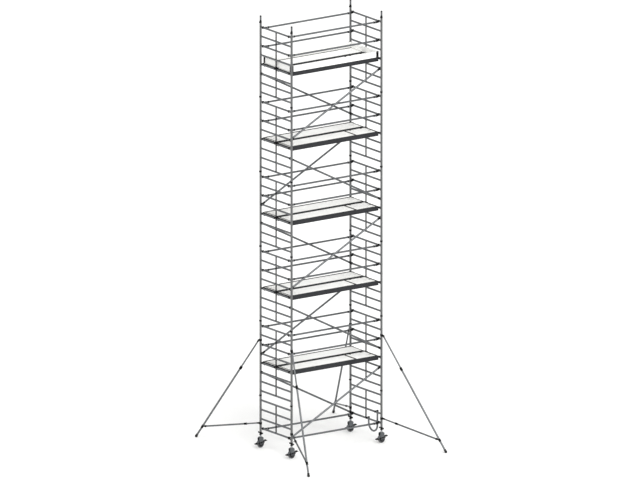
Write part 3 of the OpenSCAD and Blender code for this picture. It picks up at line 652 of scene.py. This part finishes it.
def makeDecks():
    # beams under both decks of each level, dark strips round the panels, and rivets along the flanges
    evenly = [crossEnd * (2 * i / 5 - 1) for i in range(6)]
    aroundHatch = [-crossEnd + i * (deck["hatchStart"] - 0.002 + crossEnd) / 4 for i in range(5)] + [crossEnd]
    levels = [[0, 0, rungHeight(n)] for n in deckRungs]
    back = move(deckMetal(evenly), (0, deck["inner"], 0))
    front = move(deckMetal(aroundHatch), (0, -deck["inner"] - deck["width"], 0))
    makePiece("deckBeams", [atEach(join([back, front]), levels)], finishes["beam"], "tower",
              ["deck_beams"])
    flange, strip, thick = deck["flange"] + fitGap, deck["sideTrim"], deck["trimThick"]
    z = deck["rise"] - deck["panelSink"] + thick / 2 + 0.0001
    acrossPanel = deck["width"] - 2 * flange
    trim = [block((deck["endTrim"], acrossPanel, thick),
                  (sx * (beamEnd - deck["endTrim"] / 2), sy * (deck["inner"] + deck["width"] / 2), z))
            for sx in (-1, 1) for sy in (-1, 1)]
    # strips along the panels; on the front deck they stop at one across it, beside the hatch
    sill = deck["hatchStart"] - 0.003 - strip
    trim.append(block((strip, acrossPanel, thick), (sill + strip / 2, -deck["inner"] - deck["width"] / 2, z)))
    start = -beamEnd + deck["endTrim"] + fitGap
    for sy, stop in ((1, -start), (-1, sill - fitGap)):
        for d in (flange, deck["width"] - flange - strip):
            trim.append(block((stop - start, strip, thick),
                              ((start + stop) / 2, sy * (deck["inner"] + d + strip / 2), z)))
    makePiece("deckTrims", [atEach(join(trim), levels)], finishes["trim"], "tower")
    count = int(2 * beamEnd / deck["rivetPitch"])
    spots = np.linspace(-beamEnd + 0.05, beamEnd - 0.05, count)
    lines = [s * (deck["inner"] + d) for s in (-1, 1) for d in (0.012, deck["width"] - 0.012)]
    rivets = [[x, y, rungHeight(n) + deck["rise"]] for n in deckRungs for y in lines for x in spots]
    makePiece("deckRivets", [atEach(dome(0.0045, 0.0018, 8), rivets)], finishes["weld"], "tower")


makeDecks()

deckHook = {"width": 0.034, "postClear": 0.003, "lip": 0.009, "leg": 0.008, "crown": 0.040, "bevel": 0.002,
            "boltBack": 0.034, "boltRise": 0.030}


def hookPart():
    # a cast hook seen from the side: a straight back, a crown over the rung and a lip outside it
    r, leg, crown = rungRadius + fitGap, deckHook["leg"], deckHook["crown"]
    back, lip = -deck["endGap"], rungRadius + deckHook["lip"]
    outline = np.vstack([[[back, -leg], [-r, -leg]], arc(r, 180, 0, 18),
                         [[r, -leg], [lip, -leg], [lip, crown - 0.024], [lip - 0.004, crown - 0.014],
                          [lip - 0.014, crown - 0.006], [-0.008, crown], [back, crown + 0.008]]])
    return move(prism(outline, deckHook["width"]), (0, deckHook["width"] / 2, 0))


def makeHooks():
    # four to a deck; the inner ones stand clear of the frames' centre posts
    hook = hookPart()
    bolt = join([move(boltHead(0.008, 0.005), (-deckHook["boltBack"], y, deckHook["boltRise"]),
                      turnAbout("x", a)) for y, a in ((0.0, 90), (deckHook["width"], -90))])
    inner = tower["postRadius"] + deckHook["postClear"]
    outer = deck["inner"] + deck["width"] - deckHook["width"]
    hooks, bolts = [], []
    for n in deckRungs:
        for sx, sy, y in [(sx, sy, y) for sx in (-1, 1) for sy in (-1, 1) for y in (inner, outer)]:
            for part, group in ((hook, hooks), (bolt, bolts)):
                placed = facing(move(part, (0, y, 0)), sx, sy)
                group.append(move(placed, (sx * halfLength, 0, rungHeight(n))))
    makePiece("deckHooks", hooks, finishes["casting"], "tower", ["deck_fittings"],
              deckHook["bevel"])
    makePiece("hookBolts", bolts, finishes["boltSteel"], "tower")


makeHooks()

hatch = {"hinges": (0.860, 1.200), "knuckle": 0.044, "knuckleRadius": 0.004, "pinRadius": 0.003, "lug": 0.016,
         "edge": 0.022, "edgeRise": 0.0012, "handle": (0.070, 0.024), "handleIn": 0.226, "bailWire": 0.0022}


def bailHandle(top, y0):
    # a flat plate with a low wire bail over it, at the end of the hatch beside the frame
    w, d = hatch["handle"]
    middle = [hatchEnd - w / 2 - 0.020, y0 + hatch["handleIn"] + d / 2, top]
    half = [[-w / 2 + 0.004, 0, 0], [-w / 2 + 0.004, 0, 0.003], [-w / 2 + 0.010, 0, 0.0035]]
    wire = np.array(half + [[-x, y, z] for x, y, z in half[::-1]]) + middle
    return [tubeAlong(wire, hatch["bailWire"], [0, 1, 0], 8),
            block((w, d, 0.001), (middle[0], middle[1], top + 0.0005))]


def makeHatches():
    # a board in an edge strip, with straps, knuckles and a bail handle; lugs and pins stay on the deck
    top = deck["rise"] - deck["panelSink"]
    low = top - deck["panelThick"] + fitGap
    y0 = -deck["inner"] - deck["width"] + deck["flange"] + 0.002
    y1 = -deck["inner"] - deck["flange"] - 0.0015
    x0, x1 = deck["hatchStart"] + 0.002, hatchEnd
    x, y, e, rise = (x0 + x1) / 2, (y0 + y1) / 2, hatch["edge"], hatch["edgeRise"]
    board = block((x1 - x0 - e, y1 - y0 - e, top - low), (x, y, (top + low) / 2))
    tall, middle = top - low + rise, (top + low + rise) / 2
    strips = [block((x1 - x0, e, tall), (x, side, middle)) for side in (y0 + e / 2, y1 - e / 2)]
    strips += [block((e, y1 - y0 - 2 * e, tall), (side, y, middle)) for side in (x0 + e / 2, x1 - e / 2)]
    half, lug = hatch["knuckle"] / 2, hatch["lug"]
    barrel = lathe([[hatch["pinRadius"] + 0.0001, -half], [hatch["knuckleRadius"], -half],
                    [hatch["knuckleRadius"], half], [hatch["pinRadius"] + 0.0001, half]], 16)
    pin = turned([[hatch["pinRadius"], -half - lug], [hatch["pinRadius"], half + lug]], 12)
    alongX = turnAbout("y", 90)
    for k in range(lifts):
        body = f"hatch_{k + 1}"
        up = (0, 0, rungHeight(deckRungs[k]))
        hingeY, hingeZ = hingeAt[body][1], hingeAt[body][2] - up[2]
        iron, fixed = [], []
        for hx in hatch["hinges"]:
            iron.append(move(barrel, (hx, hingeY, hingeZ), alongX))
            iron.append(block((2 * half, 0.054, 0.003), (hx, hingeY - 0.033, top + 0.0015)))
            iron.append(block((2 * half, 0.005, 0.008), (hx, hingeY - 0.0035, top + 0.003)))
            rivets = [[hx + d, hingeY - 0.045, top + 0.003] for d in (-0.013, 0.013)]
            iron.append(atEach(dome(0.004, 0.002, 8), rivets))
            fixed.append(move(pin, (hx, hingeY, hingeZ), alongX))
            fixed += [block((lug, 0.020, 0.0082), (hx + s * (half + 0.001 + lug / 2), hingeY + 0.006,
                                                   deck["rise"] + 0.0041)) for s in (-1, 1)]
        iron += bailHandle(top, y0)
        makePiece(f"hatchBoard{k + 1}", [move(board, up)], finishes["panel"], body,
                  [f"hatch_flap_{k + 1}"])
        makePiece(f"hatchEdge{k + 1}", [move(join(strips), up)], finishes["trim"], body,
                  (), 0.0006)
        makePiece(f"hatchIron{k + 1}", [move(join(iron), up)], finishes["casting"], body)
        makePiece(f"hingeLugs{k + 1}", [move(join(fixed), up)], finishes["casting"], "tower")


makeHatches()
print("decks: beams, rivets, hooks and hatches")

toe = {"thick": 0.025, "height": 0.150, "end": 0.045, "plate": 0.004, "plateOver": 0.008, "reach": 0.070,
       "screwIn": 0.045, "screws": (0.035, 0.115), "bevel": 0.0025}


def makeToeBoards():
    # boards round the top deck, and a folded plate with screws at each corner
    y, x, t, h = deck["inner"] + deck["width"], halfLength - toe["end"], toe["thick"], toe["height"]
    level = rungHeight(deckRungs[-1]) + deck["rise"]
    long = [block((2 * (x - t - fitGap), t, h), (0, s * (y - t / 2), level + h / 2)) for s in (-1, 1)]
    ends = [block((t, 2 * y, h), (s * (x - t / 2), 0, level + h / 2)) for s in (-1, 1)]
    makePiece("toeBoards", long + ends, finishes["toeBoard"], "tower", ["toe_boards"],
              toe["bevel"])
    p, r, tall, inset = toe["plate"], toe["reach"], h + toe["plateOver"], toe["screwIn"]
    plate = join([block((r + p, p, tall), (x - r / 2 + p / 2, y + p / 2, tall / 2)),
                  block((p, r, tall), (x + p / 2, y - r / 2, tall / 2))])
    head = dome(0.0055, 0.0025, 10)
    heads = join([move(head, (x - inset, y + p, z), turnAbout("x", -90)) for z in toe["screws"]]
                 + [move(head, (x + p, y - inset, z), turnAbout("y", 90)) for z in toe["screws"]])
    quarters = [(sx, sy) for sx in (-1, 1) for sy in (-1, 1)]
    plates, screws = [[move(facing(part, sx, sy), (0, 0, level)) for sx, sy in quarters]
                      for part in (plate, heads)]
    makePiece("toeBrackets", plates, finishes["casting"], "tower", ["toe_board_brackets"],
              0.001)
    makePiece("toeScrews", screws, finishes["weld"], "tower")


makeToeBoards()
print("toe boards and brackets")

jack = {"radius": 0.024, "bore": 0.019, "pitch": 0.010, "depth": 0.0022, "flangeLow": 0.2823, "flange": 0.018,
        "length": 0.600, "threaded": 0.420, "nutLow": 0.3417, "nutHeight": 0.080, "earRoot": 0.034,
        "earReach": 0.086, "earWidth": 0.022, "earHeight": 0.030, "earMiddle": 0.051}


def threadedTube(low, high, sides=24, rows=6):
    # radius = outer - depth * wave, where the wave is a trapezium of height / pitch - angle / turn
    h = np.arange(low, high, jack["pitch"] / rows)[:, None]
    t = np.linspace(0, 2 * math.pi, sides, endpoint=False)[None, :]
    wave = np.clip(np.abs((h / jack["pitch"] - t / (2 * math.pi)) % 1 - 0.5) * 4 - 0.5, 0, 1)
    r = jack["radius"] - jack["depth"] * wave
    net = np.stack([r * np.cos(t), r * np.sin(t), h + 0 * t], -1)
    inner = circles([[jack["bore"], low], [jack["bore"], high]], sides)
    return gridMesh(np.concatenate([inner[:1], net, inner[1:]])[::-1], closeU=True, closeV=True)


def makeJack(corner):
    # the spindle: a threaded tube, plain at its top, on a flange with the castor's kingpin below
    base, top = jack["flangeLow"], jack["flangeLow"] + jack["flange"]
    r = jack["radius"] + 0.012
    flange = lathe([[0.006, base], [r - 0.002, base], [r, base + 0.002], [r, base + 0.010], [r - 0.006, top],
                    [0.006, top]], 36)
    plain = lathe([[jack["bore"], top + jack["threaded"]], [jack["radius"], top + jack["threaded"]],
                   [jack["radius"], top + jack["length"]], [jack["bore"], top + jack["length"]]])
    kingpin = turned([[0.016, 0.250], [0.016, 0.268], [0.010, 0.268], [0.010, 0.290]])
    spindle = join([threadedTube(top, top + jack["threaded"]), plain, flange, kingpin])
    makePiece(f"spindle{corner}", [move(spindle, cornerAt[corner])], finishes["spindle"], f"jack_{corner}",
              [f"jack_spindle_{corner}"])
    # the nut: a waisted barrel with two flat ears that end in round grips
    low, h = jack["nutLow"], jack["nutHeight"]
    bore = jack["radius"] + fitGap
    barrel = lathe([[bore, 0], [r - 0.004, 0], [r, 0.004], [r, 0.012], [r - 0.005, 0.018],
                    [r - 0.005, h - 0.018], [r, h - 0.010], [r, h - 0.002], [r - 0.002, h], [bore, h]], 36)
    ear = block((jack["earWidth"], jack["earReach"] - jack["earRoot"], jack["earHeight"]))
    out = (jack["earReach"] + jack["earRoot"]) / 2
    ears = [move(ear, (0, s * out, jack["earMiddle"])) for s in (-1, 1)]
    grip = turned([[0.012, 0.031], [0.016, 0.036], [0.016, 0.066], [0.012, 0.071]], 20)
    grips = [move(grip, (0, s * jack["earReach"], 0)) for s in (-1, 1)]
    makePiece(f"nut{corner}", [move(join([barrel] + ears + grips), cornerAt[corner] + [0, 0, low])],
              finishes["casting"], f"jack_nut_{corner}", [f"jack_nut_{corner}"], 0.0015)


# heights are above the ground; the panel is the field pressed outwards in each leg of the fork
castor = {"wheelRadius": 0.100, "halfTread": 0.025, "axle": 0.010, "hubHalf": 0.035, "ribs": 7,
          "forkHalf": 0.036, "legThick": 0.006, "forkTop": 0.282, "guard": 0.110, "pivot": 0.142,
          "panelMiddle": 0.215, "panelScale": 0.78}
pedal = {"tilt": 11.5, "reach": 0.120, "pad": 0.058, "padThick": 0.020, "bar": 0.020, "ribs": 6}


def makeWheel(corner):
    # tyre: rounded shoulders and two tread grooves, turned round the axle; hub: rim, web, ribs, barrel
    r, w = castor["wheelRadius"], castor["halfTread"]
    half = [[r - 0.024, w], [r - 0.008, w], [r - 0.002, w - 0.005], [r, w - 0.011], [r, 0.0085],
            [r - 0.0015, 0.0075], [r - 0.0015, 0.0055], [r, 0.0045]]
    outline = [[a, -b] for a, b in half] + half[::-1]
    across = turnAbout("x", 90)
    at = cornerAt[corner] + [0, 0, r]
    makePiece(f"tyre{corner}", [move(lathe(outline, 64), at, across)], finishes["tyre"], f"wheel_{corner}",
              [f"castor_wheel_{corner}"])
    rim = lathe([[r - 0.034, -0.021], [r - 0.0238, -0.023], [r - 0.0238, 0.023], [r - 0.034, 0.021]], 64)
    web = lathe([[0.024, -0.007], [r - 0.030, -0.005], [r - 0.030, 0.005], [0.024, 0.007]], 48)
    bore, end = castor["axle"] + 0.0002, castor["hubHalf"]
    barrel = lathe([[bore, -end], [0.018, -end], [0.026, -0.026], [0.026, 0.026], [0.018, end],
                    [bore, end]], 32)
    rib = prism([[0.024, -0.020], [r - 0.032, -0.016], [r - 0.032, 0.016], [0.024, 0.020]], 0.005)
    ribs = [move(rib, turn=turnAbout("z", 360 * i / castor["ribs"])) for i in range(castor["ribs"])]
    makePiece(f"hub{corner}", [move(join([rim, web, barrel] + ribs), at, across)], finishes["hub"],
              f"wheel_{corner}")


def makeFork(corner):
    # two pressed legs with a raised panel, a bent guard over the wheel, and a top plate with its race
    z, top, half, thick = castor["wheelRadius"], castor["forkTop"], castor["forkHalf"], castor["legThick"]
    side = np.array([[-0.050, top], [-0.068, top - 0.022], [-0.070, top - 0.060], [-0.034, z + 0.008],
                     [-0.026, z - 0.018], [-0.014, z - 0.027]])
    outline, upper = [rounded(np.vstack([part, (part * [-1, 1])[::-1]])) for part in (side, side[:4])]
    middle = np.array([0, castor["panelMiddle"]])
    raised = middle + (upper - middle) * castor["panelScale"]
    parts = [prism(outline, thick, s * (half + thick / 2)) for s in (-1, 1)]
    parts += [prism(raised, 0.0015, s * (half + thick + 0.0007)) for s in (-1, 1)]
    guard = np.vstack([arc(castor["guard"], 6, 174, 40), arc(castor["guard"] - 0.004, 174, 6, 40)])
    parts.append(move(prism(guard, 2 * half + 0.001), (0, 0, z)))
    parts.append(block((0.100, 2 * half + 0.002, 0.012), (0, 0, top - 0.006)))
    makePiece(f"fork{corner}", [move(join(parts), cornerAt[corner])], finishes["forkSteel"],
              f"castor_{corner}", [f"castor_fork_{corner}"], 0.0007)
    # dark steel: the swivel's race and its dust cap, the axle's ends and the pedal's pivots
    race = lathe([[0.018, top - 0.024], [0.040, top - 0.022], [0.044, top - 0.016], [0.044, top - 0.0121],
                  [0.018, top - 0.0121]], 36)
    cap = lathe([[0.018, top - 0.001], [0.046, top - 0.001], [0.046, top + 0.0001],
                 [0.018, top + 0.0001]], 36)
    pivot = turned([[0.006, 0], [0.006, 0.007], [0.004, 0.009]], 16)
    bolts = []
    for s in (-1, 1):
        outwards = turnAbout("x", -90 * s)
        bolts.append(move(boltHead(0.015, 0.0045), (0, s * (half + thick), z), outwards))
        bolts.append(move(pivot, (0, s * (half + thick), castor["pivot"]), outwards))
    makePiece(f"forkBolts{corner}", [move(join([race, cap] + bolts), cornerAt[corner])],
              finishes["boltSteel"], f"castor_{corner}")


def makePedal(corner):
    # a bar each side of the fork swelling round its pivot, and a ribbed tread across each end
    inside = castor["forkHalf"] + castor["legThick"] + 0.002
    reach, half = pedal["reach"] + 0.010, pedal["bar"] / 2
    swell = arc(0.020, 32, 148, 9)
    outline = np.vstack([[[reach, -half], [reach, half]], swell, [[-reach, half], [-reach, -half]], -swell])
    parts = [prism(outline, 0.006, s * (inside + 0.003)) for s in (-1, 1)]
    for s in (-1, 1):
        middle = s * (pedal["reach"] + pedal["pad"] / 2)
        plate = (pedal["pad"], 2 * (inside + 0.006), pedal["padThick"] - 0.006)
        parts.append(block(plate, (middle, 0, -0.0015)))
        at = np.linspace(-1, 1, pedal["ribs"]) * (pedal["pad"] / 2 - 0.005) + middle
        parts.append(atEach(block((0.004, 2 * inside - 0.006, 0.0045)), [[x, 0, 0.0075] for x in at]))
    placed = move(join(parts), cornerAt[corner] + [0, 0, castor["pivot"]], turnAbout("y", -pedal["tilt"]))
    makePiece(f"pedal{corner}", [placed], finishes["nylon"], f"brake_{corner}",
              [f"brake_pedal_{corner}"], 0.002)


for corner in corners:
    makeJack(corner)
    makeWheel(corner)
    makeFork(corner)
    makePedal(corner)
print("jacks and castors")

# "start" is from the upright's axis to the tubes, and the two "From" values run along the tubes
stabiliser = {"start": 0.050, "topClamp": 2.880, "lowClamp": 0.650, "strutIn": 0.190, "legRadius": 0.025,
              "strutRadius": 0.022, "innerLeg": 0.021, "innerStrut": 0.019, "outerLegFrom": 0.970,
              "outerStrutFrom": 0.395, "clampHeight": 0.056, "clampWall": 0.010, "knuckle": 0.057,
              "ball": 0.038, "ballHeight": 0.034}


def clampParts(z, slope):
    # a band with rolled lips round the upright, a bolted lug, and a forked knuckle with its pin
    r, out, h = uprightRadius + fitGap, uprightRadius + stabiliser["clampWall"], stabiliser["clampHeight"]
    band = lathe([[r, 0], [out - 0.001, 0], [out, 0.001], [out, 0.010], [out - 0.003, 0.014],
                  [out - 0.003, h - 0.014], [out, h - 0.010], [out, h - 0.001], [out - 0.001, h], [r, h]], 40)
    knuckle = stabiliser["knuckle"]
    at = np.array([knuckle, 0, z + slope[2] / slope[0] * (knuckle - stabiliser["start"])])
    barrel = turned([[0.020, -0.025], [0.022, -0.023], [0.022, 0.023], [0.020, 0.025]], 28)
    neck = block((0.030, 0.034, 0.040), (knuckle - 0.020, 0, (z + at[2]) / 2))
    heads = [move(boltHead(0.010, 0.006), at + [0, s * 0.025, 0], turnAbout("x", -90 * s)) for s in (-1, 1)]
    return [move(band, (0, 0, z - h / 2)), move(barrel, at, turnAbout("x", 90)), neck] + heads, at


def collarPart(bore, outer, length):
    # a gripping sleeve with rolled ends and ribs; its bore is the size of the thinner tube
    low = outer - 0.002
    outline = [[bore, 0], [low, 0], [outer, 0.002], [outer, 0.012], [low, 0.015]]
    for z in np.linspace(0.024, length - 0.030, 4):
        outline += [[low, z - 0.003], [outer, z - 0.001], [outer, z + 0.001], [low, z + 0.003]]
    return lathe(outline + [[low, length - 0.015], [outer, length - 0.012], [outer, length - 0.002],
                            [low, length], [bore, length]], 32)


def along(part, start, direction, distance=0.0):
    # a part drawn up Z, set at a distance along a line
    return move(part, start + direction * distance, aim(direction))


def strutParts(low, out, meet, down):
    # the strut's collar with its knob, and the coupler on the leg with the socket that holds the strut
    s = stabiliser
    r, leg = s["strutRadius"], s["legRadius"]
    collar = collarPart(s["innerStrut"] + fitGap, r + 0.007, 0.084)
    half = [[leg + fitGap, 0.038], [leg + 0.009, 0.038], [leg + 0.010, 0.030], [leg + 0.008, 0.024]]
    coupler = lathe([[x, -z] for x, z in half] + half[::-1], 32)
    socket = lathe([[r, 0.078], [r + 0.006, 0.078], [r + 0.006, 0.120], [r + 0.002, 0.126], [r, 0.126]], 28)
    neck = turned([[0.018, 0.030], [0.018, 0.092]], 24)
    grip = turned([[0.010, 0], [0.013, 0.003], [0.013, 0.010], [0.009, 0.014]], 10)
    knob = join([turned([[0.005, 0], [0.005, 0.018]], 12), move(grip, (0, 0, 0.014))])
    knobAt = low + out * (s["outerStrutFrom"] + 0.026) + [0, -r - 0.005, 0]
    return [along(collar, low, out, s["outerStrutFrom"] - 0.016), along(coupler, meet, down),
            along(socket, meet, -out), along(neck, meet, -out), move(knob, knobAt, turnAbout("x", 90))]


def footPart(reach, end, down):
    # a ball cut flat underneath, grooved by pressing in two rings of every three, and a cuff up the leg
    s = stabiliser
    angles = np.radians(np.linspace(-63.5, 84, 26))
    radius = s["ball"] * (1 - 0.025 * (np.abs(np.sin(np.arange(26) * math.pi / 3)) > 0.8))
    height = np.maximum(radius * np.sin(angles), -s["ballHeight"]) + s["ballHeight"]
    ball = turned(np.stack([radius * np.cos(angles), height], -1), 40)
    bore, outer = s["legRadius"] + 0.0002, s["legRadius"] + 0.007
    cuff = lathe([[bore, 0.020], [outer, 0.020], [outer, 0.058], [outer - 0.002, 0.064], [bore, 0.064]], 32)
    return join([move(ball, (reach, 0, 0)), along(cuff, end, -down)])


def makeStabiliser(corner):
    # drawn in the XZ plane from the upright's axis, then turned to its foot and moved to its corner
    s = stabiliser
    foot = np.array(footAt[corner]) - cornerAt[corner]
    reach = np.linalg.norm(foot[:2])
    turn = turnAbout("z", math.degrees(math.atan2(foot[1], foot[0])))
    start, end = np.array([s["start"], 0, s["topClamp"]]), np.array([reach, 0, s["ballHeight"]])
    down = (end - start) / np.linalg.norm(end - start)
    meet = end - down * s["strutIn"] / down[0]
    low = np.array([s["start"], 0, s["lowClamp"]])
    out = (meet - low) / np.linalg.norm(meet - low)
    parts = strutParts(low, out, meet, down)
    ends = (low, out, 0.015, s["innerStrut"]), (start, down, 0.016, s["innerLeg"])
    for root, direction, neck, inner in ends:
        clamp, pin = clampParts(root[2], direction)
        plug = turned([[neck, 0.010], [inner + 0.003, 0.018], [inner + 0.003, 0.052]], 28)
        parts += clamp + [along(plug, pin, direction)]
    makePiece(f"stabiliserClamps{corner}", [move(join(parts), cornerAt[corner], turn)], finishes["casting"],
              f"stabiliser_{corner}", [f"stabiliser_clamps_{corner}"], 0.0008)
    makePiece(f"rubberFoot{corner}", [move(footPart(reach, end, down), cornerAt[corner], turn)],
              finishes["rubber"], f"stabiliser_leg_{corner}", [f"stabiliser_foot_{corner}"])
    collar = join([collarPart(s["innerLeg"] + fitGap, s["legRadius"] + 0.008, 0.095),
                   block((0.010, 0.012, 0.060), (s["legRadius"] + 0.010, 0, 0.045))])
    collar = along(collar, start, down, s["outerLegFrom"] - 0.020)
    makePiece(f"legCollar{corner}", [move(collar, cornerAt[corner], turn)], finishes["casting"],
              f"stabiliser_leg_{corner}", (), 0.0008)


for corner in corners:
    makeStabiliser(corner)
print("stabilisers")

studio = {"floorReach": 220.0, "sky": 0.95, "sun": 1.9, "sunSpread": 50.0, "sunTilt": 48.0, "sunTurn": -12.0,
          "floorDark": "#f4f4f3", "floorLight": "#fafaf9"}


def makeStudio():
    # a wide pale floor, an even sky, and one broad soft sun low in front that reaches under each deck
    reach = studio["floorReach"]
    mesh = bpy.data.meshes.new("floor")
    edges = [(x * reach, y * reach, 0) for x, y in ((-1, -1), (1, -1), (1, 1), (-1, 1))]
    mesh.from_pydata(edges, [], [(0, 1, 2, 3)])
    floor = bpy.data.objects.new("floor", mesh)
    bpy.context.scene.collection.objects.link(floor)
    material, tree, shader, place = startMaterial("palePaintedFloor", 0.0, 0.8)
    tree.links.new(colourRamp(tree, noise(tree, place, 20.0, 2.0), studio["floorDark"], studio["floorLight"]),
                   shader.inputs["Base Color"])
    mesh.materials.append(material)
    world = bpy.data.worlds.new("studioSky")
    world.use_nodes = True
    background = world.node_tree.nodes["Background"]
    background.inputs["Color"].default_value = linear("#ffffff")
    background.inputs["Strength"].default_value = studio["sky"]
    bpy.context.scene.world = world
    sun = bpy.data.lights.new("softSun", "SUN")
    sun.energy, sun.angle = studio["sun"], math.radians(studio["sunSpread"])
    lamp = bpy.data.objects.new("softSun", sun)
    lamp.rotation_euler = [math.radians(studio["sunTilt"]), 0, math.radians(studio["sunTurn"])]
    bpy.context.scene.collection.objects.link(lamp)
    bpy.context.scene.view_settings.view_transform = "Standard"


cameraView = {"azimuth": -35.08, "elevation": 14.46, "width": 16.606, "aimHeight": 5.493, "aside": -0.027,
              "distance": 45.0}


def makeCamera():
    # a parallel view: back towards the camera is (sin a cos e, -cos a cos e, sin e)
    a, e = math.radians(cameraView["azimuth"]), math.radians(cameraView["elevation"])
    back = np.array([math.sin(a) * math.cos(e), -math.cos(a) * math.cos(e), math.sin(e)])
    right = np.array([math.cos(a), math.sin(a), 0.0])
    lens = bpy.data.cameras.new("camera")
    lens.type, lens.ortho_scale, lens.clip_end = "ORTHO", cameraView["width"], 600.0
    camera = bpy.data.objects.new("camera", lens)
    aimPoint = np.array([0, 0, cameraView["aimHeight"]]) + right * cameraView["aside"]
    camera.location = aimPoint + back * cameraView["distance"]
    camera.rotation_euler = [math.pi / 2 - e, 0, a]
    bpy.context.scene.collection.objects.link(camera)
    bpy.context.scene.camera = camera


makeStudio()
makeCamera()
print("studio: floor, light and camera")
